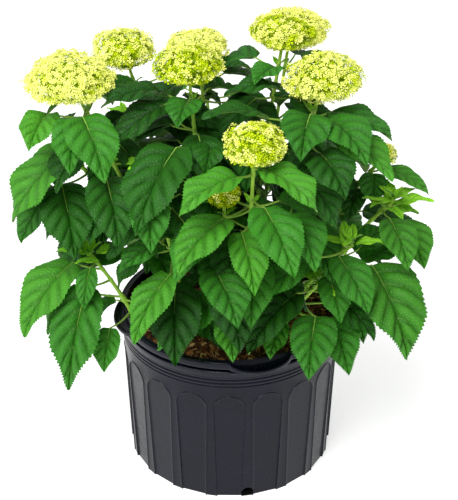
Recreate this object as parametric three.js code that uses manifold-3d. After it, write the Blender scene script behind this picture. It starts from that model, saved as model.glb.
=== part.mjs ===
// A smooth hydrangea in flower, growing in a black ribbed nursery pot.
// Millimetres, +Z up. The origin is the middle of the pot's underside and -Y is its front.
import * as THREE from "three";
import { mergeVertices } from "three/addons/utils/BufferGeometryUtils.js";
import Module from "manifold-3d";

const wasm = await Module();
wasm.setup();

// Pot
const POT_HEIGHT = 227;
const LIP_RADIUS = 152;
const LIP_HEIGHT = 9;
const NECK_RADIUS = 148;
const WALL_TOP_RADIUS = 148.7;
const WALL_FOOT_RADIUS = 142;
const WALL_TOP = 205;
const INNER_TOP_RADIUS = 142;
const INNER_FOOT_RADIUS = 133;
const FLOOR = 3;
const ROUND_STEPS = 40;

// Arched panels pressed into the wall, and the ribs left between them
const PANEL_COUNT = 18;
const PANEL_FIRST = -0.6;
const PANEL_HALF_WIDTH = 20.2;
const PANEL_FOOT_HALF_WIDTH = 17.2;
const PANEL_TOP = 171;
const PANEL_FOOT_DEPTH = 139.6;
const PANEL_TOP_DEPTH = 145.3;

// Arched drain holes at the foot of every sixth rib, and the four grips under the lip
const DRAIN_COUNT = 3;
const DRAIN_RADIUS = 8;
const RIB_FIRST = PANEL_FIRST + 180 / PANEL_COUNT;
const GRIP_COUNT = 4;
const GRIP_FIRST = 15;
const GRIP_HALF_WIDTH = 41;
const GRIP_REACH = 10;
const GRIP_DROP = 12;
const GRIP_UNDER = 214;

// Soil
const GAP = 0.3;
const SOIL_TOP = 204;
const SOIL_RISE = 3;
const SOIL_FLAT_RADIUS = 104;

// Limbs
const STEM_RADIUS = 3.7;
const JOINT_RADIUS = 2.9;
const TWIG_RADIUS = 2.2;
const STALK_RADIUS = 1.9;
const JOINT_BELOW_LEAF = 14;
const LEAN_POWER = 1.3;

// Leaves
const LEAF_THICKNESS = 2.6;
const LEAF_FOLD = 15;
const LEAF_BEND = 25;
const BLADE_FOOT = 0.55;
const BLADE_TIP = 0.9;
const LEAF_STATIONS = [0, 0.14, 0.4, 0.72, 1];
const PAIR_STATIONS = [0, 0.2, 0.6, 1];
const PETIOLE_RADIUS = 1.5;
const PETIOLE_RISE = 12;
const TWIG_CLEAR = 8;
const CLEARANCE = 0.4;
const CROWN_MIDDLE = -12;
const CROWN_HALF_WIDTH = 277;
const CROWN_HALF_DEPTH = 262;
const SKIRT_HEIGHT = 258;
const TURNS = [0, 8, -8, 16, -16, 25, -25, 36, -36];
const DIPS = [0, 9, -9, 18, -18];

// Each shoot: foot on the soil, tip under its flower head, and the head's width, height share and stalk.
// Bare is how much further below the tip its first pair of leaves by rule stands.
// Each leaf: height and heading and length of its leafstalk, heading and length of its blade,
// dip below level, and width share.
const SHOOTS = [
  {
    name: "front",
    foot: [20, -62],
    tip: [27, -142, 506],
    bare: 60,
    head: [74, 0.78, 21],
    leaves: [
      [487, -130, 27, -140, 96, 12, 0.55],
      [497, -50, 20, -48, 92, 14, 0.58],
      [447, -70, 43, -70, 102, 30, 0.6],
      [430, -127, 54, -130, 98, 24, 0.62],
      [408, -105, 44, -78, 88, 32, 0.55],
    ],
  },
  {
    name: "middle-left",
    foot: [-28, -38],
    tip: [-48, -49, 552],
    head: [83, 0.56, 34],
    leaves: [
      [548, -95, 17, -104, 58, 14, 0.78],
      [542, 170, 34, -146, 92, -2, 0.5],
      [493, -110, 62, -115, 128, 34, 0.6],
      [494, -58, 45, -100, 60, 16, 0.7],
      [260, -152, 49, -62, 80, 35, 0.76],
      [502, 147, 24, 168, 90, 28, 0.6],
    ],
  },
  {
    name: "left",
    foot: [-72, -24],
    tip: [-180, -48, 538],
    head: [110, 0.55, 30],
    leaves: [
      [520, -165, 50, -105, 75, 16, 0.62],
      [530, -88, 42, -69, 98, 32, 0.64],
      [470, -160, 50, -143, 116, 42, 0.62],
      [500, 150, 40, 130, 60, 40, 0.6],
    ],
  },
  {
    name: "right",
    foot: [52, -24],
    tip: [104, -42, 534],
    head: [98, 0.64, 32],
    leaves: [
      [530, -102, 42, -102, 84, 18, 0.72],
      [518, 10, 22, -38, 96, 8, 0.5],
      [497, -50, 44, -48, 104, 14, 0.58],
      [489, -83, 80, -70, 84, 18, 0.7],
      [517, -150, 70, -154, 88, -10, 0.5],
      [463, -97, 80, -55, 90, 30, 0.6],
      [413, -95, 108, -68, 88, 26, 0.6],
    ],
  },
  {
    name: "top-right",
    foot: [18, -6],
    tip: [61, 15, 571],
    head: [80, 0.5, 31],
    leaves: [
      [565, -98, 26, -122, 54, 6, 0.76],
      [539, -78, 44, -155, 84, -4, 0.5],
      [556, -153, 36, -153, 52, -14, 0.5],
      [536, 20, 30, 20, 86, 24, 0.6],
    ],
  },
  {
    name: "inner-front",
    foot: [-2, -78],
    tip: [-8, -114, 428],
    head: [42, 0.8, 21],
    leaves: [
      [362, -100, 74, -70, 90, 24, 0.66],
      [392, -138, 66, 152, 52, 10, 0.7],
      [275, -90, 50, -82, 66, 26, 0.62],
    ],
  },
  {
    name: "front-left",
    foot: [-52, -66],
    tip: [-100, -112, 478],
    head: null,
    leaves: [
      [463, -168, 54, -75, 100, 34, 0.62],
      [387, -93, 57, -134, 70, 10, 0.6],
      [348, -90, 74, -125, 100, 38, 0.5],
      [301, -70, 44, -120, 80, 24, 0.7],
    ],
  },
  {
    name: "low-left",
    foot: [-122, -46],
    tip: [-178, -78, 345],
    bare: 120,
    head: null,
    leaves: [
      [335, -63, 14, -174, 32, 0, 0.5],
      [332, -102, 27, -100, 56, 47, 0.5],
      [318, 175, 39, -128, 120, 33, 0.58],
      [299, -131, 42, -103, 138, 48, 0.47],
      [268, 178, 69, -130, 72, 48, 0.4],
      [242, -110, 67, -100, 60, 44, 0.62],
      [264, -38, 48, -20, 46, 12, 0.6],
      [342, 150, 10, 165, 58, -40, 0.62],
      [262, -160, 12, -165, 56, 36, 0.62],
    ],
  },
  {
    name: "far-left",
    foot: [-66, 14],
    tip: [-196, 0, 436],
    head: null,
    leaves: [
      [420, -114, 66, -74, 104, 44, 0.62],
      [395, -162, 62, -128, 88, 40, 0.62],
      [372, -110, 26, -100, 56, 42, 0.62],
    ],
  },
  {
    name: "low-right",
    foot: [62, -66],
    tip: [112, -110, 322],
    head: null,
    leaves: [
      [283, -76, 58, -100, 90, 30, 0.66],
      [262, -37, 56, -72, 84, 32, 0.62],
      [261, -116, 39, -109, 56, 34, 0.65],
    ],
  },
  {
    name: "young-front",
    foot: [56, -48],
    tip: [150, -112, 378],
    head: null,
    leaves: [
      [364, -110, 22, -64, 86, 34, 0.6],
      [351, 20, 32, 40, 60, -10, 0.75],
      [376, -150, 8, 90, 40, -26, 0.4],
      [327, -8, 64, -67, 134, 38, 0.62],
      [365, -123, 50, -136, 104, 32, 0.62],
      [300, 20, 80, 33, 76, 2, 0.6],
      [262, -10, 80, -70, 66, 44, 0.45],
    ],
  },
  {
    name: "young-right",
    foot: [76, -18],
    tip: [208, -46, 406],
    bare: 60,
    head: null,
    leaves: [
      [395, -6, 12, -6, 50, -10, 0.55],
      [397, 65, 8, 95, 36, -28, 0.5],
      [397, -115, 12, -160, 42, -30, 0.4],
      [396, -70, 10, -65, 30, 8, 0.5],
      [389, -82, 37, -74, 78, 32, 0.6],
      [360, 0, 49, -70, 78, 28, 0.7],
      [374, 60, 24, -28, 56, -6, 0.62],
    ],
  },
  {
    name: "far-right",
    foot: [70, 16],
    tip: [186, 0, 430],
    bare: 60,
    head: [36, 0.8, 16],
    leaves: [
      [422, -2, 14, -45, 76, 12, 0.52],
      [414, -122, 26, -150, 48, 20, 0.7],
      [424, -90, 14, -90, 46, 42, 0.8],
      [402, -110, 18, -105, 50, 32, 0.75],
    ],
  },
  {
    name: "back-left",
    foot: [-56, 34],
    tip: [-127, 57, 532],
    head: [84, 0.64, 31],
    leaves: [
      [528, -74, 36, -132, 64, -6, 0.66],
      [500, -52, 60, -24, 84, 20, 0.6],
    ],
  },
  {
    name: "middle-back",
    foot: [-16, 22],
    tip: [-38, 40, 541],
    head: [80, 0.5, 34],
    leaves: [
      [507, -44, 40, -28, 90, 16, 0.62],
      [470, -60, 60, -90, 84, 20, 0.6],
    ],
  },
  { name: "top-back", foot: [34, 46], tip: [74, 112, 535], head: [107, 0.46, 35], leaves: [] },
  { name: "back-low-left", foot: [-60, 62], tip: [-146, 132, 440], head: null, leaves: [] },
  { name: "back-middle", foot: [-14, 84], tip: [-34, 176, 466], head: [62, 0.7, 30], leaves: [] },
  { name: "back-low-right", foot: [64, 70], tip: [146, 148, 410], head: null, leaves: [] },
  { name: "back-right", foot: [78, 44], tip: [146, 104, 384], head: [58, 0.6, 28], leaves: [] },
  { name: "back-foot", foot: [24, 96], tip: [44, 196, 356], head: null, leaves: [] },
];

// Below those, every shoot carries pairs of leaves by rule, each pair a quarter turn on from the last.
const PAIR_DROP = 12;
const PAIR_SPACE = 73;
const PAIR_LOWEST = 236;
const PAIR_TURN = 97;
const PAIR_LEAF = 106;
const PAIR_PETIOLE = 34;
const PAIR_DIP = 30;

const rad = THREE.MathUtils.degToRad;
const UP = new THREE.Vector3(0, 0, 1);

// A geometry with each of its points moved by place.
function warp(geometry, place) {
  const position = geometry.getAttribute("position");
  const p = new THREE.Vector3();
  for (let i = 0; i < position.count; i += 1) {
    place(p.fromBufferAttribute(position, i));
    position.setXYZ(i, p.x, p.y, p.z);
  }
  return geometry;
}

// A closed geometry as a solid.
function solid(geometry) {
  const bare = geometry.clone();
  bare.deleteAttribute("normal");
  bare.deleteAttribute("uv");
  const merged = mergeVertices(bare, 1e-3);
  return new wasm.Manifold(
    new wasm.Mesh({
      numProp: 3,
      vertProperties: new Float32Array(merged.attributes.position.array),
      triVerts: new Uint32Array(merged.index.array),
    }),
  );
}

// A solid as a flat-shaded mesh.
function meshOf(made, name, material) {
  const data = made.getMesh();
  const geometry = new THREE.BufferGeometry();
  const points = new Float32Array(data.numVert * 3);
  for (let i = 0; i < data.numVert; i += 1) {
    const from = i * data.numProp;
    points.set(data.vertProperties.subarray(from, from + 3), i * 3);
  }
  geometry.setAttribute("position", new THREE.BufferAttribute(points, 3));
  geometry.setIndex(new THREE.BufferAttribute(new Uint32Array(data.triVerts), 1));
  const flat = geometry.toNonIndexed();
  flat.computeVertexNormals();
  const mesh = new THREE.Mesh(flat, material);
  mesh.name = name;
  return mesh;
}

// A profile of [radius, height] turned about the vertical axis.
function turned(profile, steps) {
  const points = profile.map(([r, z]) => new THREE.Vector2(r, z));
  return new THREE.LatheGeometry(points, steps).rotateX(Math.PI / 2);
}

// A geometry drawn at the front of the pot, carried round by an angle to the right.
function carried(geometry, angle) {
  return geometry.rotateZ(rad(angle));
}

function panelCutter() {
  const arch = new THREE.Shape();
  const spring = PANEL_TOP - PANEL_HALF_WIDTH;
  arch.moveTo(-PANEL_FOOT_HALF_WIDTH, -12);
  arch.lineTo(PANEL_FOOT_HALF_WIDTH, -12);
  arch.lineTo(PANEL_HALF_WIDTH, spring);
  arch.absarc(0, spring, PANEL_HALF_WIDTH, 0, Math.PI, false);
  const lean = Math.atan2(PANEL_TOP_DEPTH - PANEL_FOOT_DEPTH, PANEL_TOP);
  return new THREE.ExtrudeGeometry(arch, { depth: 20, bevelEnabled: false, curveSegments: 4 })
    .rotateX(Math.PI / 2 + lean)
    .translate(0, -PANEL_FOOT_DEPTH, 0);
}

function pot() {
  const profile = [
    [0, 0],
    [WALL_FOOT_RADIUS - 2, 0],
    [WALL_FOOT_RADIUS, 2],
    [WALL_TOP_RADIUS, WALL_TOP],
    [NECK_RADIUS + 1.5, WALL_TOP + 3],
    [NECK_RADIUS + 1.5, WALL_TOP + 9],
    [NECK_RADIUS - 1.2, WALL_TOP + 10],
    [NECK_RADIUS - 1.2, POT_HEIGHT - LIP_HEIGHT],
    [LIP_RADIUS, POT_HEIGHT - LIP_HEIGHT],
    [LIP_RADIUS, POT_HEIGHT - 2],
    [LIP_RADIUS - 2, POT_HEIGHT],
    [INNER_TOP_RADIUS + 2, POT_HEIGHT],
    [INNER_TOP_RADIUS, POT_HEIGHT - 3],
    [INNER_TOP_RADIUS, WALL_TOP],
    [INNER_FOOT_RADIUS, FLOOR],
    [0, FLOOR],
  ];
  let body = solid(turned(profile, ROUND_STEPS));
  for (let k = 0; k < GRIP_COUNT; k += 1) {
    const grip = new THREE.SphereGeometry(1, 10, 4);
    warp(grip, (p) => {
      p.multiply(new THREE.Vector3(GRIP_HALF_WIDTH, GRIP_REACH, GRIP_DROP));
      p.y -= LIP_RADIUS - 1 - (p.x * p.x) / (2 * LIP_RADIUS);
      p.z += POT_HEIGHT - 3;
      p.z = Math.min(Math.max(p.z, GRIP_UNDER), POT_HEIGHT - 0.5);
    });
    const lump = solid(carried(grip, GRIP_FIRST + (k * 360) / GRIP_COUNT));
    const inside = solid(turned([[0, 150], [146, 150], [146, 260], [0, 260]], ROUND_STEPS));
    body = body.add(lump.subtract(inside));
  }
  for (let k = 0; k < PANEL_COUNT; k += 1) {
    body = body.subtract(solid(carried(panelCutter(), PANEL_FIRST + (k * 360) / PANEL_COUNT)));
  }
  for (let k = 0; k < DRAIN_COUNT; k += 1) {
    const hole = new THREE.CylinderGeometry(DRAIN_RADIUS, DRAIN_RADIUS, 16, 16)
      .translate(0, -WALL_FOOT_RADIUS, FLOOR);
    body = body.subtract(solid(carried(hole, RIB_FIRST + (k * 360) / DRAIN_COUNT)));
  }
  return body;
}

function soil() {
  const slope = (INNER_TOP_RADIUS - INNER_FOOT_RADIUS) / (WALL_TOP - FLOOR);
  const edge = INNER_FOOT_RADIUS + slope * (SOIL_TOP - 4 - FLOOR) - GAP * 1.2;
  const rings = [edge, 124, SOIL_FLAT_RADIUS];
  const profile = [
    [0, FLOOR + GAP],
    [INNER_FOOT_RADIUS - GAP * 1.2, FLOOR + GAP],
    ...rings.map((r) => [r, SOIL_TOP]),
    [0, SOIL_TOP],
  ];
  const shape = turned(profile, ROUND_STEPS);
  warp(shape, (p) => {
    const r = Math.hypot(p.x, p.y);
    if (p.z > 100 && r > SOIL_FLAT_RADIUS + 1) {
      const turn = Math.atan2(p.y, p.x);
      const wave = Math.sin(turn * 5 + 1) + Math.sin(turn * 11 + r);
      p.z += (SOIL_RISE / 2) * wave - (r > 130 ? 2 : 0);
    }
  });
  return solid(shape);
}

// Where a shoot's axis is at a height: it leaves the soil upright and leans out as it rises.
function axisAt(shoot, z) {
  const from = SOIL_TOP + GAP;
  const t = Math.max(0, (z - from) / (shoot.tip[2] - from)) ** LEAN_POWER;
  return new THREE.Vector3(
    shoot.foot[0] + (shoot.tip[0] - shoot.foot[0]) * t,
    shoot.foot[1] + (shoot.tip[1] - shoot.foot[1]) * t,
    z,
  );
}

// A tapering limb with level ends, following a shoot's axis between two heights.
function uprightLimb(shoot, low, high, lowRadius, highRadius, sides, steps) {
  const limb = new THREE.CylinderGeometry(1, 1, 1, sides, steps);
  warp(limb, (p) => {
    const t = p.y + 0.5;
    const c = axisAt(shoot, low + (high - low) * t);
    const r = lowRadius + (highRadius - lowRadius) * t;
    p.set(c.x + p.x * r, c.y - p.z * r, c.z);
  });
  return solid(limb);
}

// The frame of a leaf: its midrib is a level-to-drooping arc from the end of its leafstalk.
function leafFrame(shoot, leaf, stations, turn, dip) {
  const [z, stalkHeading, petiole, heading, length, slope, widthShare] = leaf;
  const a = rad(heading + turn);
  const b = rad(stalkHeading + turn);
  const out = new THREE.Vector3(Math.cos(a), Math.sin(a), 0);
  const side = new THREE.Vector3(Math.sin(a), -Math.cos(a), 0);
  const node = axisAt(shoot, z);
  const reach = new THREE.Vector3(Math.cos(b), Math.sin(b), Math.tan(rad(PETIOLE_RISE))).normalize();
  const base = node.clone().addScaledVector(reach, petiole);
  const from = rad(LEAF_BEND - slope - dip);
  const to = rad(-LEAF_BEND - slope - dip);
  const midrib = (s) => {
    const angle = from + (to - from) * s;
    const forward = (length * (Math.sin(angle) - Math.sin(from))) / (to - from);
    const drop = (length * (Math.cos(angle) - Math.cos(from))) / (to - from);
    return base.clone().addScaledVector(out, forward).addScaledVector(UP, -drop);
  };
  const normal = (s) => {
    const angle = from + (to - from) * s;
    return new THREE.Vector3()
      .addScaledVector(out, -Math.sin(angle))
      .addScaledVector(UP, Math.cos(angle));
  };
  return { node, reach, side, midrib, normal, stations, width: length * widthShare };
}

// Half the width of a blade along its length, as a share of the full width.
function bladeShare(s) {
  const widest = BLADE_FOOT / (BLADE_FOOT + BLADE_TIP);
  const shape = (at) => at ** BLADE_FOOT * (1 - at) ** BLADE_TIP;
  return (0.5 * shape(s)) / shape(widest);
}

// A leaf and its leafstalk in one, from a distance off its node: a four-sided rod that opens
// into a folded, keeled blade.
function leafSolid(frame, from) {
  const rings = frame.stations.length + 1;
  const rod = new THREE.CylinderGeometry(1, 1, 1, 4, rings - 1);
  const fold = rad(LEAF_FOLD);
  const foot = new THREE.Vector3(frame.reach.y, -frame.reach.x, 0).normalize();
  const footUp = new THREE.Vector3().crossVectors(foot, frame.reach).normalize();
  warp(rod, (p) => {
    const ring = Math.round((p.y + 0.5) * (rings - 1));
    if (ring === 0) {
      const [x, z] = [p.x * PETIOLE_RADIUS, p.z * PETIOLE_RADIUS];
      p.copy(frame.node).addScaledVector(frame.reach, from);
      p.addScaledVector(foot, x).addScaledVector(footUp, z);
      return;
    }
    const s = frame.stations[ring - 1];
    const across = p.x * Math.max(bladeShare(s) * frame.width, PETIOLE_RADIUS * (1 - 0.6 * s));
    const layer = (p.z * LEAF_THICKNESS * (1 - 0.5 * s)) / 2;
    const n = frame.normal(s);
    p.copy(frame.midrib(s))
      .addScaledVector(frame.side, across * Math.cos(fold))
      .addScaledVector(n, Math.abs(across) * Math.sin(fold) + layer);
  });
  return solid(rod);
}

// A domed flower head on the stalk that carries it.
function flower(shoot) {
  const [width, share, stalk] = shoot.head;
  const top = shoot.tip[2];
  const half = width / 2;
  const centre = axisAt(shoot, top + GAP + stalk);
  const dome = new THREE.IcosahedronGeometry(1, width > 60 ? 2 : 1);
  warp(dome, (p) => {
    const wave = Math.sin(p.x * 9 + p.y * 14) * Math.sin(p.z * 12 + p.x * 5);
    const bump = 1 - 0.025 * (1 + wave);
    const height = p.z > 0 ? half * share * 1.12 : half * share * 0.62;
    p.set(p.x * half * bump, p.y * half * bump, p.z * height * bump).add(centre);
  });
  const rod = uprightLimb(shoot, top + GAP, centre.z, TWIG_RADIUS, STALK_RADIUS, 5, 2);
  return solid(dome).add(rod);
}

// The leaves that a shoot carries by rule, in opposite pairs down to its lowest joint.
function pairedLeaves(shoot, index) {
  const leaves = [];
  const top = shoot.tip[2] - PAIR_DROP - (shoot.bare ?? 0);
  const count = Math.floor((top - PAIR_LOWEST) / PAIR_SPACE) + 1;
  for (let k = 0; k < count; k += 1) {
    const z = top - PAIR_SPACE * k;
    for (const half of [0, 180]) {
      const wobble = ((index * 17 + k * 37 + half / 9) % 25) - 12;
      const heading = index * 41 + PAIR_TURN * k + half + wobble;
      const length = PAIR_LEAF - 14 * Math.exp(-k) + wobble;
      leaves.push([z, heading, PAIR_PETIOLE + 4 * k, heading, length, PAIR_DIP + 3 * k, 0.6]);
    }
  }
  return leaves;
}

const plastic = new THREE.MeshStandardMaterial({ color: 0x2d2f3a, roughness: 0.42, metalness: 0 });
const bark = new THREE.MeshStandardMaterial({ color: 0x5a4028, roughness: 0.95, metalness: 0 });
const wood = new THREE.MeshStandardMaterial({ color: 0x8a7440, roughness: 0.8, metalness: 0 });
const green = new THREE.MeshStandardMaterial({ color: 0x2f7a22, roughness: 0.6, metalness: 0 });
const lime = new THREE.MeshStandardMaterial({ color: 0xc9dc4a, roughness: 0.8, metalness: 0 });

const root = new THREE.Group();
root.name = "hydrangea";
const standing = [];

function place(made, name, material) {
  root.add(meshOf(made, name, material));
}

function keep(made, owner, outer) {
  standing.push({ made, owner, outer, box: made.boundingBox() });
}

function near(a, b, reach) {
  return [0, 1, 2].every((i) => a.min[i] - reach < b.max[i] && b.min[i] - reach < a.max[i]);
}

// Whether a new leaf stays clear of all that stands: of its own twig's leaves, only past their nodes.
function clear(made, outer, owner) {
  const box = made.boundingBox();
  return standing.every((other) => {
    if (!near(box, other.box, CLEARANCE)) return true;
    if (other.owner !== owner) return made.minGap(other.made, CLEARANCE * 2) > CLEARANCE;
    return !other.outer || outer.minGap(other.outer, CLEARANCE * 2) > CLEARANCE;
  });
}

const potSolid = pot();
const soilSolid = soil();
place(potSolid, "pot", plastic);
place(soilSolid, "soil", bark);
keep(potSolid, "pot");
keep(soilSolid, "soil");

for (const [index, shoot] of SHOOTS.entries()) {
  shoot.ruled = pairedLeaves(shoot, index);
  const heights = [...shoot.leaves, ...shoot.ruled].map((leaf) => leaf[0]);
  const joint = Math.min(...heights) - JOINT_BELOW_LEAF;
  const foot = SOIL_TOP + GAP;
  const stem = uprightLimb(shoot, foot, joint, STEM_RADIUS, JOINT_RADIUS, 6, 3);
  shoot.mass = uprightLimb(shoot, joint + GAP, shoot.tip[2], JOINT_RADIUS, TWIG_RADIUS, 4, 3);
  place(stem, "stem-" + shoot.name, wood);
  keep(stem, "stem-" + shoot.name);
  keep(shoot.mass, shoot.name);
  if (shoot.head) {
    const head = flower(shoot);
    place(head, "flower-" + shoot.name, lime);
    keep(head, "flower-" + shoot.name);
  }
}

// Whether a leaf's tip stays within the crown's outline seen from above, and off the pot's side.
function within(frame) {
  const tip = frame.midrib(1);
  const share = Math.hypot((tip.x - CROWN_MIDDLE) / CROWN_HALF_WIDTH, tip.y / CROWN_HALF_DEPTH);
  const overRim = Math.hypot(tip.x, tip.y) > INNER_TOP_RADIUS - 10;
  return share < 1 && (!overRim || tip.z > SKIRT_HEIGHT);
}

// The first way of growing a leaf that stays in the crown and clear of the rest, if any.
function grow(shoot, leaf, stations, bounded) {
  for (const dip of DIPS) {
    for (const turn of TURNS) {
      const frame = leafFrame(shoot, leaf, stations, turn, dip);
      if (bounded && !within(frame)) continue;
      const made = leafSolid(frame, 0);
      const outer = leafSolid(frame, TWIG_CLEAR);
      if (clear(made, outer, shoot.name)) return { made, outer };
    }
  }
  return null;
}

const LISTS = [
  ["leaves", LEAF_STATIONS, false],
  ["ruled", PAIR_STATIONS, true],
];
for (const [list, stations, bounded] of LISTS) {
  for (const shoot of SHOOTS) {
    for (const leaf of shoot[list]) {
      const grown = grow(shoot, leaf, stations, bounded);
      if (grown) {
        keep(grown.made, shoot.name, grown.outer);
        shoot.mass = shoot.mass.add(grown.made);
      }
    }
  }
}
for (const shoot of SHOOTS) {
  place(shoot.mass, "leaves-" + shoot.name, green);
}

export default root;
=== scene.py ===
"""The looks of a smooth hydrangea in a nursery pot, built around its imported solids."""

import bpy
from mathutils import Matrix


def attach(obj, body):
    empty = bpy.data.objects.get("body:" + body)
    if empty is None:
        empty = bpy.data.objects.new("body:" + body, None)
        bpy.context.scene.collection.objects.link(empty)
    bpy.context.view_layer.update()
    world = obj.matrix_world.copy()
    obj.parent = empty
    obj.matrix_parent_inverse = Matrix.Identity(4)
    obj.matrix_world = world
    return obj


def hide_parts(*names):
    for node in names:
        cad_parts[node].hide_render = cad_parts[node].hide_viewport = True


bl_info = {
    "name": "Smooth Hydrangea In A Pot",
    "version": (1, 0, 0),
    "blender": (4, 5, 0),
    "location": "3D View > Sidebar > Hydrangea",
    "description": "Builds the pot, stems, leaves and flower heads of a potted smooth hydrangea",
    "category": "Object",
}

import math
from collections import namedtuple
from functools import partial

import bmesh
import bpy
import numpy as np
from bpy.props import FloatProperty, FloatVectorProperty, IntProperty, PointerProperty
from bpy.types import Operator, Panel, PropertyGroup
from mathutils import Matrix, Vector
from mathutils.kdtree import KDTree

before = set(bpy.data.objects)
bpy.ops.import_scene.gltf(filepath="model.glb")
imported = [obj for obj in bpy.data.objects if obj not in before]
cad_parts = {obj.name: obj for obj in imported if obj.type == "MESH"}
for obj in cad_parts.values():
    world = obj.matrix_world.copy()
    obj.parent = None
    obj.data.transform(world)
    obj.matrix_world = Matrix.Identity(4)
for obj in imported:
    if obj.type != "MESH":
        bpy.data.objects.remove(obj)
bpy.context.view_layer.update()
MM = 0.001
NEARLY = 1e-5

# Pot, in millimetres
LIP_RADIUS = 152
WALL_TOP_RADIUS = 148.7
WALL_FOOT_RADIUS = 142
WALL_TOP = 205
INNER_TOP_RADIUS = 142
INNER_FOOT_RADIUS = 133
FLOOR = 3.3
PANEL_COUNT = 18
PANEL_FIRST = -0.6
PANEL_HALF_WIDTH = 20.2
PANEL_TAPER = 3
PANEL_TOP = 171
PANEL_FOOT_DEPTH = 139.6
PANEL_TOP_DEPTH = 145.3
SECTOR_TOP = 184
SECTOR_HALF = 25.24
PANEL_LEVELS = (0, 6, 20, 45, 70, 95, 120, 138)
RIB_FIRST = PANEL_FIRST + 180 / PANEL_COUNT
DRAIN_COUNT = 3
DRAIN_RADIUS = 8.6
DRAIN_HEIGHT = 5.5
# How far in each cut of a drain hole reaches, and the height that it stops at
DRAIN_CUTS = ((126, FLOOR + 0.2), (137.2, 0.8))
GRIP_COUNT = 4
GRIP_FIRST = 15
GRIP_HALF_WIDTH = 41
GRIP_REACH = 9.5
RING_RADII = (90, 45, 15)
UNDERSIDE_RADIUS = 132

# Three grooves under the neck: their feet, then each row's share of the depth and its rise
GROOVE_FEET = (186.6, 192.0, 197.4)
GROOVE_ROWS = ((0, 0), (0.6, 0.7), (1, 1.3), (0.6, 1.9), (0, 2.6), (-0.4, 4.0))
NECK_ROWS = ((148.6, 202.6), (149.4, 203.4), (150.4, 208), (150.8, 210.4))
# The lip's rows: radius, share of the grip's reach, height, and how far a grip sinks the row,
# in millimetres and then as a share of the dish
LIP_ROWS = (
    (150.8, 0.2, 211.6, 0.2, 0), (150, 0.34, 212.6, 0.6, 0), (145, 0.95, 213, 0.5, 0),
    (145, 1.1, 217, 3.6, 0), (150.4, 0.66, 217.4, 3.2, 0), (151.6, 0.8, 217.7, 2.8, 0),
    (LIP_RADIUS, 0.93, 218.4, 3, 0), (LIP_RADIUS, 1, 220.6, 4.4, 0), (LIP_RADIUS, 1, 224, 6.8, 0),
    (151.7, 1, 225.8, 7.9, 0), (151.1, 1, 226.7, 8.3, 0), (150.5, 0.98, 227, 8.4, 0),
    (149.9, 0.94, 226.7, 8.5, 0),
    (149, 0.84, 226.5, 0, 0.86), (147.9, 0.66, 226.5, 0, 1), (146.8, 0.3, 226.5, 0, 1),
    (145.8, 0.07, 226.5, 0, 0.86), (144.6, 0, 226.7, 0, 0.2), (143.4, 0, 226.8, 0, 0),
    (142.5, 0, 226.4, 0, 0), (INNER_TOP_RADIUS, 0, 224.6, 0, 0),
)
INNER_ROWS = ((141.6, 212), (141.4, 205), (139, 160), (136, 70), (INNER_FOOT_RADIUS, 6), (131, FLOOR))

# Soil and limbs
GAP = 0.3
SOIL_TOP = 204
SOIL_EDGE = 204.6
SOIL_RADIUS = 140.6
SOIL_CROWN = 2.4
SOIL_RINGS = 46
SOIL_EDGE_RINGS = 12
CHIP_SPREAD = 137
CHIP_LIMIT = 138
CHIP_HEIGHT = 206.8
STEM_RADIUS = 3.7
JOINT_RADIUS = 2.9
TWIG_RADIUS = 2.2
STALK_RADIUS = 1.9
JOINT_BELOW_LEAF = 14
LEAN_POWER = 1.3

# Leaves
LEAF_FOLD = 15
LEAF_BEND = 25
BLADE_FOOT = 0.55
BLADE_TIP = 0.9
PETIOLE_RADIUS = 1.5
PETIOLE_RISE = 12
LEAFSTALK_RADII = (1.75, 1.05)
TAIL_PLACES = (0.07, 0.2, 0.4)
TAIL_RADII = (0.85, 0.6, 0.25)
TURNS = (0, 8, -8, 16, -16, 25, -25, 36, -36)
DIPS = (0, 9, -9, 18, -18)
LEAF_STATIONS = (0, 0.14, 0.4, 0.72, 1)
PAIR_STATIONS = (0, 0.2, 0.6, 1)
PAIR_DROP = 12
PAIR_SPACE = 73
PAIR_LOWEST = 236
PAIR_TURN = 97
PAIR_LEAF = 106
PAIR_PETIOLE = 34
PAIR_DIP = 30
PAIR_SHARE = 0.6
SHOOT_TURN = 41
# A leaf is found on a solid where more than a share of its edge's points lie this near to the solid's
FOUND_WITHIN = 0.2
FOUND_SHARE = 0.6

# Smaller leaves between the pairs, which stay within the crown's oval and above its lowest leaves
FILLING_LEAF = 72
FILLING_PETIOLE = 30
FILLING_SHARE = 0.64
FILLING_LOWEST = 262
FILLING_ABOVE_JOINT = 20
TALL_SHOOT = 470
CROWN_MIDDLE = -12
CROWN_REACH = (235, 222)
# Young leaves: the length and rise of each pair in a rosette, and the lengths of those in the forks
ROSETTE_PAIRS = ((40, 18), (32, 36), (20, 58))
ROSETTE_SHARE = 0.44
FORK_LEAF = (9, 18)
FORK_SHARE = 0.5

# Tints 0 to 2 are partly the leaves' own greens and partly painted shade and light: deep for leaves that
# stand in shade, bright for lit ones.
# Each shoot: foot on the soil, tip under its flower head, and the head's width, height share and stalk.
# Each leaf: height and heading and length of its leafstalk, heading and length of its blade,
# dip below level, width share, and tint: 0 deep, 1 middle, 2 bright, 3 fresh.
# Bare is how much further below the tip a shoot's first pair of leaves by rule stands.
Shoot = namedtuple("Shoot", "name foot tip head leaves bare", defaults=((), 0))

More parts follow.
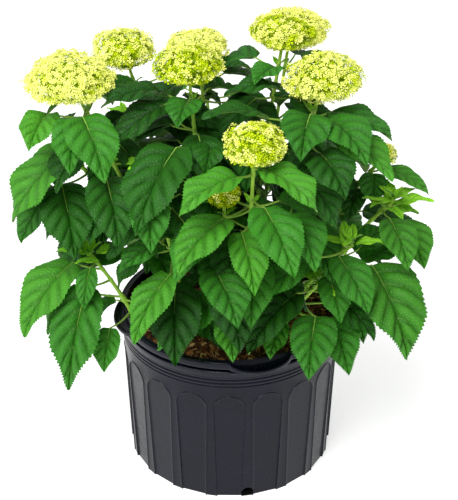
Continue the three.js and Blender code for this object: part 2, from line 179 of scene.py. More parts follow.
SHOOTS = (
    Shoot("front", (20, -62), (27, -142, 506), (74, 0.78, 21), (
        (487, -130, 27, -140, 96, 12, 0.55, 2),
        (497, -50, 20, -48, 92, 14, 0.58, 2),
        (447, -70, 43, -70, 102, 30, 0.6, 1),
        (430, -127, 54, -130, 98, 24, 0.62, 2),
        (408, -105, 44, -78, 88, 32, 0.55, 2),
    ), 60),
    Shoot("middle-left", (-28, -38), (-48, -49, 552), (83, 0.56, 34), (
        (548, -95, 17, -104, 58, 14, 0.78, 1),
        (542, 170, 34, -146, 92, -2, 0.5, 0),
        (493, -110, 62, -115, 128, 34, 0.6, 0),
        (494, -58, 45, -100, 60, 16, 0.7, 0),
        (260, -152, 49, -62, 80, 35, 0.76, 0),
        (502, 147, 24, 168, 90, 28, 0.6, 0),
    )),
    Shoot("left", (-72, -24), (-180, -48, 538), (110, 0.55, 30), (
        (520, -165, 50, -105, 75, 16, 0.62, 2),
        (530, -88, 42, -69, 98, 32, 0.64, 1),
        (470, -160, 50, -143, 116, 42, 0.62, 2),
        (500, 150, 40, 130, 60, 40, 0.6, 1),
    )),
    Shoot("right", (52, -24), (104, -42, 534), (98, 0.64, 32), (
        (530, -102, 42, -102, 84, 18, 0.72, 1),
        (518, 10, 22, -38, 96, 8, 0.5, 1),
        (497, -50, 44, -48, 104, 14, 0.58, 2),
        (489, -83, 80, -70, 84, 18, 0.7, 0),
        (517, -150, 70, -154, 88, -10, 0.5, 0),
        (463, -97, 80, -55, 90, 30, 0.6, 0),
        (413, -95, 108, -68, 88, 26, 0.6, 1),
    )),
    Shoot("top-right", (18, -6), (61, 15, 571), (80, 0.5, 31), (
        (565, -98, 26, -122, 54, 6, 0.76, 1),
        (539, -78, 44, -155, 84, -4, 0.5, 0),
        (556, -153, 36, -153, 52, -14, 0.5, 0),
        (536, 20, 30, 20, 86, 24, 0.6, 0),
    )),
    Shoot("inner-front", (-2, -78), (-8, -114, 428), (42, 0.8, 21), (
        (362, -100, 74, -70, 90, 24, 0.66, 1),
        (392, -138, 66, 152, 52, 10, 0.7, 1),
        (275, -90, 50, -82, 66, 26, 0.62, 2),
    )),
    Shoot("front-left", (-52, -66), (-100, -112, 478), None, (
        (463, -168, 54, -75, 100, 34, 0.62, 0),
        (387, -93, 57, -134, 70, 10, 0.6, 1),
        (348, -90, 74, -125, 100, 38, 0.5, 2),
        (301, -70, 44, -120, 80, 24, 0.7, 0),
    )),
    Shoot("low-left", (-122, -46), (-178, -78, 345), None, (
        (335, -63, 14, -174, 32, 0, 0.5, 3),
        (332, -102, 27, -100, 56, 47, 0.5, 1),
        (318, 175, 39, -128, 120, 33, 0.58, 2),
        (299, -131, 42, -103, 138, 48, 0.47, 1),
        (268, 178, 69, -130, 72, 48, 0.4, 2),
        (242, -110, 67, -100, 60, 44, 0.62, 1),
        (264, -38, 48, -20, 46, 12, 0.6, 1),
        (342, 150, 10, 165, 58, -40, 0.62, 3),
        (262, -160, 12, -165, 56, 36, 0.62, 1),
    ), 120),
    Shoot("far-left", (-66, 14), (-196, 0, 436), None, (
        (420, -114, 66, -74, 104, 44, 0.62, 0),
        (395, -162, 62, -128, 88, 40, 0.62, 1),
        (372, -110, 26, -100, 56, 42, 0.62, 0),
    )),
    Shoot("low-right", (62, -66), (112, -110, 322), None, (
        (283, -76, 58, -100, 90, 30, 0.66, 1),
        (262, -37, 56, -72, 84, 32, 0.62, 1),
        (261, -116, 39, -109, 56, 34, 0.65, 2),
    )),
    Shoot("young-front", (56, -48), (150, -112, 378), None, (
        (364, -110, 22, -64, 86, 34, 0.6, 1),
        (351, 20, 32, 40, 60, -10, 0.75, 1),
        (376, -150, 8, 90, 40, -26, 0.4, 3),
        (327, -8, 64, -67, 134, 38, 0.62, 2),
        (365, -123, 50, -136, 104, 32, 0.62, 1),
        (300, 20, 80, 33, 76, 2, 0.6, 1),
        (262, -10, 80, -70, 66, 44, 0.45, 1),
    )),
    Shoot("young-right", (76, -18), (208, -46, 406), None, (
        (395, -6, 12, -6, 50, -10, 0.55, 3),
        (397, 65, 8, 95, 36, -28, 0.5, 3),
        (397, -115, 12, -160, 42, -30, 0.4, 3),
        (396, -70, 10, -65, 30, 8, 0.5, 3),
        (389, -82, 37, -74, 78, 32, 0.6, 2),
        (360, 0, 49, -70, 78, 28, 0.7, 2),
        (374, 60, 24, -28, 56, -6, 0.62, 3),
    ), 60),
    Shoot("far-right", (70, 16), (186, 0, 430), (36, 0.8, 16), (
        (422, -2, 14, -45, 76, 12, 0.52, 2),
        (414, -122, 26, -150, 48, 20, 0.7, 0),
        (424, -90, 14, -90, 46, 42, 0.8, 1),
        (402, -110, 18, -105, 50, 32, 0.75, 0),
    ), 60),
    Shoot("back-left", (-56, 34), (-127, 57, 532), (84, 0.64, 31), (
        (528, -74, 36, -132, 64, -6, 0.66, 0),
        (500, -52, 60, -24, 84, 20, 0.6, 0),
    )),
    Shoot("middle-back", (-16, 22), (-38, 40, 541), (80, 0.5, 34), (
        (507, -44, 40, -28, 90, 16, 0.62, 0),
        (470, -60, 60, -90, 84, 20, 0.6, 0),
    )),
    Shoot("top-back", (34, 46), (74, 112, 535), (107, 0.46, 35)),
    Shoot("back-low-left", (-60, 62), (-146, 132, 440), None),
    Shoot("back-middle", (-14, 84), (-34, 176, 466), (62, 0.7, 30)),
    Shoot("back-low-right", (64, 70), (146, 148, 410), None),
    Shoot("back-right", (78, 44), (146, 104, 384), (58, 0.6, 28)),
    Shoot("back-foot", (24, 96), (44, 196, 356), None),
)

# The tint of each shoot's ruled leaves, partly painted shade and light as in the table above
SPRAY_TINTS = {
    "front": 1, "middle-left": 0, "left": 1, "right": 1, "top-right": 1, "inner-front": 1,
    "front-left": 1, "low-left": 2, "far-left": 2, "low-right": 1, "young-front": 2,
    "young-right": 2, "far-right": 2, "back-left": 1, "middle-back": 0, "top-back": 1,
    "back-low-left": 2, "back-middle": 1, "back-low-right": 1, "back-right": 2, "back-foot": 1,
}
LEAF_GROUPS = {
    "leaves-of-the-front": ("front", "middle-left", "inner-front", "front-left", "low-right"),
    "leaves-of-the-left": ("left", "low-left", "far-left", "back-left", "back-low-left"),
    "leaves-of-the-right": ("right", "top-right", "young-front", "young-right", "far-right"),
    "leaves-of-the-back": (
        "middle-back", "top-back", "back-middle", "back-low-right", "back-right", "back-foot",
    ),
}

# Flower heads: how pale each is, its shape, how far its lumps rise, sink and darken, and how deep florets
# sink and shade, all as shares. A ray's reach is a share too, and its radii and sag are in millimetres.
# Paleness is partly each head's own colour and partly painted light; the lumps set darker or lighter and the
# deep florets' shade are painted shade and light.
HEAD_PALENESS = {
    "left": 0.5, "back-left": 0.22, "right": 0.04, "top-right": -0.16, "top-back": 0.55, "middle-left": -0.18,
    "middle-back": 0.4, "inner-front": -0.3,
}
HEAD_ABOVE = 1.12
HEAD_BELOW = 0.62
LUMP_RISE = (-0.13, 0.05)
LUMP_SHADE = (-0.4, 0.3)
DEPTH_SINK = 0.26
DEPTH_SHADE = 1.3
LIME_ABOVE = 0.12
PALE_ABOVE = 0.62
HEART_SHARE = 0.6
RAY_REACH = 0.72
RAY_RADII = (1.2, 0.8)
RAY_SAG = 4

# A blade's mesh: rows and half its columns, for large, middling and small leaves, and how it is shaped.
# Shares run along the blade from foot to tip, or across it from midrib to edge.
LARGE_GRID = (48, 6)
MIDDLING_GRID = (32, 4)
SMALL_GRID = (16, 3)
LARGE_LEAF = 110
COLUMN_PLACES = (0, 0.022, 0.22, 0.45, 0.68, 0.87, 1)
SIDE_VEINS = 6
ROW_POWER = 1.3
ROW_LEAN = 0.95
ROW_KNEE = 0.4
KNEE_SPREAD = 0.6
LOPSIDE = 0.07
CUSP_FROM = 0.64
CUSP_DEPTH = 0.68
CUSP_EASE = 0.22
TOOTH_LEAN = 0.8
FOOT_DROP = 0.03
BELLY_PLACES = (0, 0.12, 0.45, 0.8, 1)
BELLY_SHARES = (0, 0.35, 1, 0.7, 0.2)
MIDRIB_REACH = 0.22
# How far blades vary: shares of the veins' relief, of the length for the swell and bend, and degrees
VEIN_RANGE = (0.75, 1.2)
SWELL_RANGE = (0.018, 0.042)
BEND_RANGE = 0.04
FOLD_RANGE = 5
ROLL_RANGE = 6

# Stage: places and the lamp's size in metres, tilt in degrees, the floor's reach and sensor in millimetres
CAMERA_PLACE = (-0.002, -1.45, 1.143)
CAMERA_TILT = 60
SENSOR = 36
LAMP_PLACE = Vector((-0.7, -1.3, 2.3))
LAMP_AIM = Vector((0, 0, 0.35))
LAMP_SIZE = 1.6
FLOOR_REACH = 12000

# Materials of the leaves and the flower heads, by their place in each piece's list
FRESH = 3
UNDERSIDE = 4
FLORET_DEEP, FLORET_LIME, FLORET_PALE, FLORET_BUD, FLOWER_STALK = range(5)
SEPAL_FACES = 16
# Some ruled leaves lower than this are a tint deeper, as painted shade low in the crown
SHADED_BELOW = 380
LEAVES_AT_LEAST = 150

SOIL_SEED, STEM_SEED, TWIG_SEED, LEAF_SEED, BLOSSOM_SEED = 7, 11, 13, 100, 200
UP = np.array([0.0, 0.0, 1.0])
# A direction that no upright limb runs along, to turn its rings by
LEVEL_GUIDE = (0.31, 0.95, 0.05)

Template = namedtuple("Template", "co loops sizes")
LeafFrame = namedtuple("LeafFrame", "node reach base out side start end length width")


class Heap:
    """Copies of templates gathered as arrays in millimetres, to be joined into one mesh."""

    def __init__(self):
        self.points = []
        self.loops = []
        self.sizes = []
        self.slots = []
        self.tints = []
        self.veins = []
        self.count = 0

    def add(self, template, points, slots=0, tint=0.5, vein=0.0):
        self.points.append(points)
        self.loops.append(template.loops + self.count)
        self.sizes.append(template.sizes)
        self.slots.append(np.broadcast_to(slots, template.sizes.shape))
        self.tints.append(np.broadcast_to(np.asarray(tint, float), (len(points),)))
        self.veins.append(np.broadcast_to(np.asarray(vein, float), (len(points),)))
        self.count += len(points)

    def join(self, name, materials, crease=None):
        mesh = bpy.data.meshes.new(name)
        points = np.concatenate(self.points) * MM
        loops = np.concatenate(self.loops)
        sizes = np.concatenate(self.sizes)
        mesh.vertices.add(len(points))
        mesh.vertices.foreach_set("co", points.astype(np.float32).ravel())
        mesh.loops.add(len(loops))
        mesh.loops.foreach_set("vertex_index", loops.astype(np.int32))
        mesh.polygons.add(len(sizes))
        starts = np.concatenate(([0], np.cumsum(sizes)[:-1]))
        mesh.polygons.foreach_set("loop_start", starts.astype(np.int32))
        mesh.polygons.foreach_set("material_index", np.concatenate(self.slots).astype(np.int32))
        mesh.update(calc_edges=True)
        mesh.validate()
        for title, values in (("tint", self.tints), ("vein", self.veins)):
            layer = mesh.attributes.new(title, "FLOAT", "POINT")
            layer.data.foreach_set("value", np.concatenate(values).astype(np.float32))
        return show(mesh, name, materials, crease)


def show(mesh, name, materials, crease=None):
    """An object at the origin for a mesh in metres, smooth up to edges sharper than a crease in degrees."""
    mesh.shade_smooth()
    if crease is not None:
        mesh.set_sharp_from_angle(angle=math.radians(crease))
    for material in materials:
        mesh.materials.append(material)
    made = bpy.data.objects.new(name, mesh)
    bpy.context.scene.collection.objects.link(made)
    return made


def template_of(bm):
    """The points, loops and face sizes of a bmesh as arrays."""
    mesh = bpy.data.meshes.new("template")
    bm.to_mesh(mesh)
    bm.free()
    co = np.empty(len(mesh.vertices) * 3)
    mesh.vertices.foreach_get("co", co)
    loops = np.empty(len(mesh.loops), int)
    mesh.loops.foreach_get("vertex_index", loops)
    sizes = np.empty(len(mesh.polygons), int)
    mesh.polygons.foreach_get("loop_total", sizes)
    bpy.data.meshes.remove(mesh)
    return Template(co.reshape(-1, 3), loops, sizes)


def object_of(bm, name, material):
    """A bmesh in millimetres as an object in metres at the origin."""
    bmesh.ops.scale(bm, vec=(MM, MM, MM), verts=bm.verts)
    mesh = bpy.data.meshes.new(name)
    bm.to_mesh(mesh)
    bm.free()
    return show(mesh, name, [material])


def points_in(geom):
    return [g for g in geom if isinstance(g, bmesh.types.BMVert)]


def everything(bm):
    return bm.verts[:] + bm.edges[:] + bm.faces[:]


def line_of(bm, points):
    """A line through points: its vertices and its edges."""
    line = [bm.verts.new(point) for point in points]
    return line, [bm.edges.new(pair) for pair in zip(line, line[1:])]


def spin_line(bm, points, steps, merge):
    """Turns a line of points full round the upright axis and closes its seam."""
    line, edges = line_of(bm, points)
    bmesh.ops.spin(
        bm, geom=line + edges, axis=(0, 0, 1), cent=(0, 0, 0), angle=math.tau, steps=steps, use_merge=True
    )
    bmesh.ops.remove_doubles(bm, verts=bm.verts, dist=merge)


def repeat_round(bm, count):
    """Repeats all of a bmesh round the upright axis, count times in all."""
    geom = everything(bm)
    step = math.tau / count
    for k in range(1, count):
        copy = bmesh.ops.duplicate(bm, geom=geom)["geom"]
        turn = Matrix.Rotation(k * step, 3, "Z")
        bmesh.ops.rotate(bm, cent=(0, 0, 0), matrix=turn, verts=points_in(copy))


def blade_template(rows, columns):
    """A flat pillow: x is -1 to 1 across, y is 0 to 1 along, and z tells the upper from the under side."""
    bm = bmesh.new()
    bmesh.ops.create_grid(bm, x_segments=2 * columns, y_segments=rows, size=1.0)
    under = bmesh.ops.duplicate(bm, geom=everything(bm))["geom"]
    bmesh.ops.reverse_faces(bm, faces=[g for g in under if isinstance(g, bmesh.types.BMFace)])
    lower = set(points_in(under))
    for v in bm.verts:
        along = (v.co.y + 1) / 2
        at_end = along < NEARLY or along > 1 - NEARLY
        inner = 0 if at_end or abs(v.co.x) > 1 - NEARLY else 1
        v.co = (0 if at_end else v.co.x, along, -inner if v in lower else inner)
    bmesh.ops.remove_doubles(bm, verts=bm.verts, dist=1e-4)
    return template_of(bm)


def rod_template(sides, rings):
    """A closed tube of unit radius, with z from 0 to 1 along it, made by turning a line."""
    bm = bmesh.new()
    spin_line(bm, [(1, 0, k / rings) for k in range(rings + 1)], sides, NEARLY)
    bmesh.ops.holes_fill(bm, edges=[e for e in bm.edges if e.is_boundary], sides=sides)
    bmesh.ops.recalc_face_normals(bm, faces=bm.faces)
    return template_of(bm)


def floret_template():
    """Four cupped sepals round a small bud. The sepals' faces come first."""
    bm = bmesh.new()
    corners = ((0.07, 0, 0.04), (0.86, 0.4, 0.28), (0.86, -0.4, 0.28), (0.62, 0, 0.03))
    foot, left, right, low = (bm.verts.new(p) for p in corners)
    for face in ((foot, right, left), (foot, left, low), (left, right, low), (right, foot, low)):
        bm.faces.new(face)
    repeat_round(bm, 4)
    bud = Matrix.Translation((0, 0, 0.22))
    bmesh.ops.create_cone(bm, cap_ends=True, segments=3, radius1=0.2, radius2=0.0, depth=0.4, matrix=bud)
    bmesh.ops.recalc_face_normals(bm, faces=bm.faces)
    return template_of(bm)


def axis_at(shoot, z):
    """Where a shoot's axis is at a height or heights, in millimetres."""
    z = np.asarray(z, float)
    low = SOIL_TOP + GAP
    t = np.maximum(0, (z - low) / (shoot.tip[2] - low)) ** LEAN_POWER
    x = shoot.foot[0] + (shoot.tip[0] - shoot.foot[0]) * t
    y = shoot.foot[1] + (shoot.tip[1] - shoot.foot[1]) * t
    return np.stack([x, y, z], axis=-1)


def leaf_frame(shoot, leaf, turn, dip):
    """Where a leaf stands and how it lies, turned and dipped from its row in the table."""
    z, stalk_heading, petiole, heading, length, slope, share = leaf[:7]
    a = math.radians(heading + turn)
    b = math.radians(stalk_heading + turn)
    out = np.array([math.cos(a), math.sin(a), 0.0])
    side = np.array([math.sin(a), -math.cos(a), 0.0])
    rise = math.radians(PETIOLE_RISE)
    reach = np.array([math.cos(b) * math.cos(rise), math.sin(b) * math.cos(rise), math.sin(rise)])
    node = axis_at(shoot, z)
    start = math.radians(LEAF_BEND - slope - dip)
    end = math.radians(-LEAF_BEND - slope - dip)
    return LeafFrame(node, reach, node + reach * petiole, out, side, start, end, length, length * share)


def midrib(f, s):
    """Points along the midrib, which bends in an arc from foot to tip, at shares of its length."""
    s = np.asarray(s, float)
    angle = f.start + (f.end - f.start) * s
    forward = f.length * (np.sin(angle) - math.sin(f.start)) / (f.end - f.start)
    drop = f.length * (np.cos(angle) - math.cos(f.start)) / (f.end - f.start)
    return f.base + forward[..., None] * f.out - drop[..., None] * UP


def rib_normal(f, s):
    """The way up from the blade at shares of the midrib's length."""
    angle = f.start + (f.end - f.start) * np.asarray(s, float)
    return -np.sin(angle)[..., None] * f.out + np.cos(angle)[..., None] * UP


def blade_share(s):
    """Half the width of a blade along its length, as a share of the full width."""
    s = np.clip(s, 0, 1)
    widest = BLADE_FOOT / (BLADE_FOOT + BLADE_TIP)
    return 0.5 * (s / widest) ** BLADE_FOOT * ((1 - s) / (1 - widest)) ** BLADE_TIP


def wobble(index, k, half, steps, span):
    """An uneven amount up to half a span either way, from a leaf's numbers and so the same in every run."""
    return ((index * steps[0] + k * steps[1] + half / 9) % span) - span // 2


def paired_leaves(shoot, index):
    """The leaves that a shoot carries by rule, in opposite pairs down to its lowest joint."""
    leaves = []
    top = shoot.tip[2] - PAIR_DROP - shoot.bare
    count = math.floor((top - PAIR_LOWEST) / PAIR_SPACE) + 1
    for k in range(count):
        for half in (0, 180):
            uneven = wobble(index, k, half, (17, 37), 25)
            heading = index * SHOOT_TURN + PAIR_TURN * k + half + uneven
            length = PAIR_LEAF - 14 * math.exp(-k) + uneven
            dip = PAIR_DIP + 3 * k
            z = top - PAIR_SPACE * k
            leaves.append((z, heading, PAIR_PETIOLE + 4 * k, heading, length, dip, PAIR_SHARE))
    return leaves


def filling_leaves(index, shoot):
    """Smaller leaves half way between the ruled pairs, that fill the shoot's own shade."""
    leaves = []
    lowest = joint_of(index, shoot) + FILLING_ABOVE_JOINT
    ways = (0, 90, 180) if shoot.tip[2] > TALL_SHOOT else (0, 180)
    for k in range(8):
        z = shoot.tip[2] - PAIR_DROP - shoot.bare - PAIR_SPACE * (k + 0.5)
        if z < lowest:
            break
        for half in ways:
            uneven = wobble(index, k, half, (13, 29), 21)
            heading = index * SHOOT_TURN + PAIR_TURN * k + 58 + half + uneven
            dip = PAIR_DIP + 6 + 3 * k
            leaf = (z, heading, FILLING_PETIOLE + 3 * k, heading, FILLING_LEAF + uneven, dip, FILLING_SHARE)
            f = leaf_frame(shoot, leaf, 0, 0)
            x, y, height = midrib(f, 1)
            inside = math.hypot((x - CROWN_MIDDLE) / CROWN_REACH[0], y / CROWN_REACH[1]) < 1
            if inside and height > FILLING_LOWEST:
                leaves.append(f)
    return leaves


def grown_way(shoot, leaf, stations, tree):
    """How the solids grew this leaf, told by where its edge lies on them, or None if they left it out."""
    fold = math.radians(LEAF_FOLD)
    s = np.array(stations[1:-1])
    best, best_share = None, FOUND_SHARE
    for dip in DIPS:
        for turn in TURNS:
            f = leaf_frame(shoot, leaf, turn, dip)
            across = np.maximum(blade_share(s) * f.width, PETIOLE_RADIUS * (1 - 0.6 * s))[:, None]
            rise = midrib(f, s) + rib_normal(f, s) * across * math.sin(fold)
            spread = f.side * across * math.cos(fold)
            places = np.concatenate([rise + spread, rise - spread])
            found = sum(tree.find(p)[2] < FOUND_WITHIN for p in places) / len(places)
            if found > best_share:
                best, best_share = f, found
            if best_share > 0.99:
                return best
    return best


def leaves_of(index, shoot):
    """The leaves that stand on a shoot's solid, aimed and ruled: each one's frame, with its tint or None."""
    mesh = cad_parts["leaves-" + shoot.name].data
    tree = KDTree(len(mesh.vertices))
    for i, v in enumerate(mesh.vertices):
        tree.insert(v.co / MM, i)
    tree.balance()
    aimed = [(grown_way(shoot, leaf, LEAF_STATIONS, tree), leaf[7]) for leaf in shoot.leaves]
    ruled = [(grown_way(shoot, leaf, PAIR_STATIONS, tree), None) for leaf in paired_leaves(shoot, index)]
    return [pair for pair in aimed + ruled if pair[0]]


def reach_of(template):
    """How far out each point of a blade's template lies: 0 on the midrib and 1 on the edge."""
    columns = np.linspace(0, 1, len(COLUMN_PLACES))
    return np.interp(np.abs(template.co[:, 0]), columns, COLUMN_PLACES)


def rows_of(template):
    """How many rows a blade's template has, told by its nearest point to the foot."""
    along = template.co[:, 1]
    return round(1 / along[along > 1e-4].min())


def faded(a, foot, tip, least=0.0):
    """1 along the middle of a blade, falling to a least share over its foot and over its tip."""
    return np.clip(np.minimum(a / foot, (1 - a) / tip), least, 1)


def blade_plan(template, f, rng, settings):
    """A blade's points along and across it, with its rows curved as side veins are and its edge toothed."""
    v, step, _ = template.co.T
    a = step**ROW_POWER
    reach = reach_of(template)
    keep = 1 - reach
    edge_at = np.clip(a + ROW_LEAN * a**0.6 * (1 - a) ** 1.4, 0, 1)
    knee_at = a + ROW_KNEE * (edge_at - a)
    cusp = np.clip((edge_at - CUSP_FROM) / (1 - CUSP_FROM), 0, 1)
    lean = 1 + np.sign(v) * rng.uniform(-LOPSIDE, LOPSIDE)
    half = blade_share(edge_at) * f.width * (1 - CUSP_DEPTH * cusp * (1 - CUSP_EASE * cusp)) * lean
    along = keep**2 * a + 2 * reach * keep * knee_at + reach**2 * edge_at
    across = 2 * reach * keep * KNEE_SPREAD * half + reach**2 * half
    toothed = (np.round(step * rows_of(template)) % 2 == 1) & (np.abs(v) > 0.999)
    tooth = np.where(toothed, 1.0, 0.0) * faded(a, 0.06, 0.16) * settings.tooth_depth / MM
    tooth = tooth * f.length / LARGE_LEAF
    along = along + tooth * TOOTH_LEAN / f.length - FOOT_DROP * reach * np.clip(1 - a / 0.12, 0, 1)
    return a, along, across + tooth, reach, half.max()


def blade_points(template, f, rng, settings):
    """A blade's points: side veins pressed in, puckered between them, then folded, rolled and bent."""
    v, step, layer = template.co.T
    side = np.sign(v)
    a, along, across, reach, widest = blade_plan(template, f, rng, settings)

    between = np.abs(np.sin(np.pi * step * SIDE_VEINS)) ** 0.55
    belly = np.interp(reach, BELLY_PLACES, BELLY_SHARES)
    fade = faded(a, 0.08, 0.2, 0.1)
    scale = f.length / LARGE_LEAF * settings.vein_relief / MM * rng.uniform(*VEIN_RANGE)
    relief = scale * (between * belly * fade - 0.5 * (reach < 0.02) * fade)
    ripple = rng.uniform(0, 6.28, 3)
    swell = rng.uniform(*SWELL_RANGE) * f.length
    relief = relief + swell * reach**2 * np.sin(2 * np.pi * (2 * along) + ripple[0] + side * ripple[1])

    fold = math.radians(LEAF_FOLD + rng.uniform(-FOLD_RANGE, FOLD_RANGE))
    roll = math.radians(rng.uniform(-ROLL_RANGE, ROLL_RANGE))
    arch = across * math.sin(fold) * (1 - 0.45 * across / np.maximum(widest, 1))
    twist = roll * (0.3 + along)
    thick = settings.blade_thickness / MM * f.length / LARGE_LEAF
    out = side * across * math.cos(fold)
    lift = arch + relief - np.where(layer < 0, thick, 0) + out * np.sin(twist)
    bend = rng.uniform(-BEND_RANGE, BEND_RANGE) * f.length * along**2
    points = midrib(f, along) + f.side * (out * np.cos(twist) + bend)[:, None]
    return points + rib_normal(f, along) * lift[:, None]


def blade_veins(template):
    """How near each point of the blade is to a vein: 1 on it, and 0 half way to the next."""
    phase = template.co[:, 1] * SIDE_VEINS
    near = 1 - 2 * np.abs(phase - np.round(phase))
    reach = reach_of(template)
    middle = np.where(reach < 0.01, 1.0, 0.85 * np.clip(1 - reach / MIDRIB_REACH, 0, 1))
    return np.maximum(near * (1 - 0.25 * reach), middle)


def add_blade(heap, template, points, kind, shade):
    """Adds a blade with its material above, the paler one below, and how near each point is to a vein."""
    index = np.repeat(np.arange(len(template.sizes)), template.sizes)
    layer = np.zeros(len(template.sizes))
    np.add.at(layer, index, template.co[template.loops, 2])
    heap.add(template, points, np.where(layer < 0, UNDERSIDE, kind), shade, blade_veins(template))


def unit(rows):
    """Each row as a direction of length 1."""
    return rows / np.linalg.norm(rows, axis=1)[:, None]


def rod(heap, template, rings, centres, radii, slots=0, tint=0.5, ribs=None):
    """A tube along a line of points, with a radius at each."""
    x, y, z = template.co.T
    k = z * rings
    at = np.arange(rings + 1)
    centre = np.stack([np.interp(k, at, centres[:, i]) for i in range(3)], axis=-1)
    radius = np.interp(k, at, radii)
    heading = unit(np.gradient(centres, axis=0))
    aside = unit(np.cross(heading, LEVEL_GUIDE if abs(heading[0, 2]) > 0.6 else UP))
    third = np.cross(heading, aside)
    i = np.round(k).astype(int)
    if ribs is not None:
        radius = radius * ribs(np.arctan2(y, x), k)
    spread = aside[i] * (x * radius)[:, None] + third[i] * (y * radius)[:, None]
    heap.add(template, centre + spread, slots, tint)


def swollen(radii, heights, joints, swelling, spread):
    """Radii up a limb, thicker by a share at each of its joints."""
    for z in joints:
        radii = radii * (1 + swelling * np.exp(-(((heights - z) / spread) ** 2)))
    return radii


def bark_ribs(shift, relief, angle, k):
    """How far the bark stands out at an angle round a stem and a ring along it, as a share of its radius."""
    ridge = np.sin(5 * angle + shift[0] + 0.21 * k) * np.sin(0.8 * k + 2 * angle + shift[1])
    return 1 + relief * (ridge + 0.5 * np.sin(9 * angle + 1.7 * k + shift[2]))


def petiole(heap, template, rings, f, rng):
    """A leafstalk from its node to its blade, running out under the midrib."""
    along = np.linspace(0, 1, rings - 2)
    span = np.linalg.norm(f.base - f.node)
    sag = 0.05 * span * np.sin(np.pi * along)
    stalk = f.node + (f.base - f.node) * along[:, None] - UP * sag[:, None]
    under = np.array(TAIL_PLACES)
    tail = midrib(f, under) - rib_normal(f, under) * 0.7
    scale = min(1.0, 0.5 + f.length / 160)
    radii = np.concatenate([np.linspace(*LEAFSTALK_RADII, rings - 2), TAIL_RADII]) * scale
    rod(heap, template, rings, np.concatenate([stalk, tail]), radii, 1, rng.uniform(0.3, 0.7))


def small_leaf(point, heading, rise, length, share, gap):
    """A young leaf that rises from a point."""
    a = math.radians(heading)
    out = np.array([math.cos(a), math.sin(a), 0.0])
    side = np.array([math.sin(a), -math.cos(a), 0.0])
    up = math.radians(rise)
    reach = out * math.cos(up) + UP * math.sin(up)
    start, end = math.radians(rise + 12), math.radians(rise - 38)
    return LeafFrame(point, reach, point + reach * gap, out, side, start, end, length, length * share)


def joint_of(index, shoot):
    """The height at which a shoot's bare stem gives way to its leafy twig."""
    lowest = min(leaf[0] for leaf in list(shoot.leaves) + paired_leaves(shoot, index))
    return lowest - JOINT_BELOW_LEAF


def head_of(shoot):
    """Centre of a flower head, half its width, its height above the centre and its depth below."""
    width, share, stalk = shoot.head
    half = width / 2
    centre = axis_at(shoot, shoot.tip[2] + GAP + stalk)
    return centre, half, half * share * HEAD_ABOVE, half * share * HEAD_BELOW


def spread_ways(count, low):
    """Directions spread evenly from straight up down to a height share, by a sunflower spiral."""
    k = np.arange(count)
    w = 1 - (k + 0.5) / count * (1 - low)
    turn = k * math.pi * (3 - math.sqrt(5))
    flat = np.sqrt(1 - w**2)
    return np.stack([flat * np.cos(turn), flat * np.sin(turn), w], axis=-1)


def bases_of(normals, spins):
    """A turned frame on each normal, as the rows of a matrix."""
    ref = np.where(np.abs(normals[:, 2:]) < 0.9, UP, np.array([1.0, 0.0, 0.0]))
    aside = unit(np.cross(ref, normals))
    third = np.cross(normals, aside)
    cos, sin = np.cos(spins)[:, None], np.sin(spins)[:, None]
    return np.stack([aside * cos + third * sin, third * cos - aside * sin, normals], axis=1)


def add_many(heap, template, points, slots, tint):
    """Many copies of a template: their points, a slot for each face of each, and a tint for each."""
    count, each = points.shape[:2]
    loops = (template.loops[None, :] + (np.arange(count) * each)[:, None]).ravel()
    many = Template(None, loops, np.tile(template.sizes, count))
    heap.add(many, points.reshape(-1, 3), slots.ravel(), np.repeat(tint, each))


def add_florets(heap, shoot, settings, rng):
    """A head's florets, gathered in lumps that rise, sink, darken and thin out under its rim."""
    centre, half, up, down = head_of(shoot)
    count = int(settings.florets_per_area * half * half)
    ways = unit(spread_ways(count, -0.85) + rng.normal(0, 0.05, (count, 3)))
    lumps = spread_ways(max(16, int(half * 1.1)), -0.95)
    lumps = unit(lumps + rng.normal(0, 0.12, lumps.shape))
    nearness = ways @ lumps.T
    near = np.argmax(nearness, axis=1)
    closeness = np.clip((np.max(nearness, axis=1) - 0.88) / 0.12, 0, 1)
    lump_rise = rng.uniform(*LUMP_RISE, len(lumps))
    lump_shade = rng.uniform(*LUMP_SHADE, len(lumps))
    ragged = (lumps[:, 2] < 0.05) & (rng.uniform(0, 1, len(lumps)) < settings.raggedness)
    kept = ~ragged[near] | (rng.uniform(0, 1, count) < 0.25)
    depth = rng.beta(1.3, 2.2, count)
    scale = 0.99 + lump_rise[near] + 0.05 * (closeness - 0.5) - DEPTH_SINK * depth
    stretch = np.array([half, half, up]) * np.ones((count, 3))
    stretch[ways[:, 2] < 0, 2] = down
    places = centre + ways * stretch * scale[:, None]
    normals = unit(ways / stretch)
    normals += 0.6 * (ways - lumps[near]) + rng.normal(0, 0.42, normals.shape) + UP * 0.2
    bases = bases_of(unit(normals), rng.uniform(0, math.tau, count))
    sizes = settings.floret_radius / MM * rng.uniform(0.7, 1.25, count)
    floret = floret_template()
    points = np.einsum("pi,nij->npj", floret.co, bases) * sizes[:, None, None] + places[:, None, :]
    # Paleness picks each floret's green: painted shade deepens sunk florets and darker lumps, lighter lumps
    # and the head's paleness are partly painted light, and florets facing up are paler.
    pale = 1.05 + HEAD_PALENESS.get(shoot.name, 0) - DEPTH_SHADE * depth + lump_shade[near]
    pale = pale + rng.uniform(-0.3, 0.3, count) + 0.2 * ways[:, 2]
    petals = np.where(pale > PALE_ABOVE, FLORET_PALE, np.where(pale > LIME_ABOVE, FLORET_LIME, FLORET_DEEP))
    slots = np.repeat(petals[:, None], len(floret.sizes), axis=1)
    slots[:, SEPAL_FACES:] = FLORET_BUD
    add_many(heap, floret, points[kept], slots[kept], np.clip(pale, 0, 1)[kept])


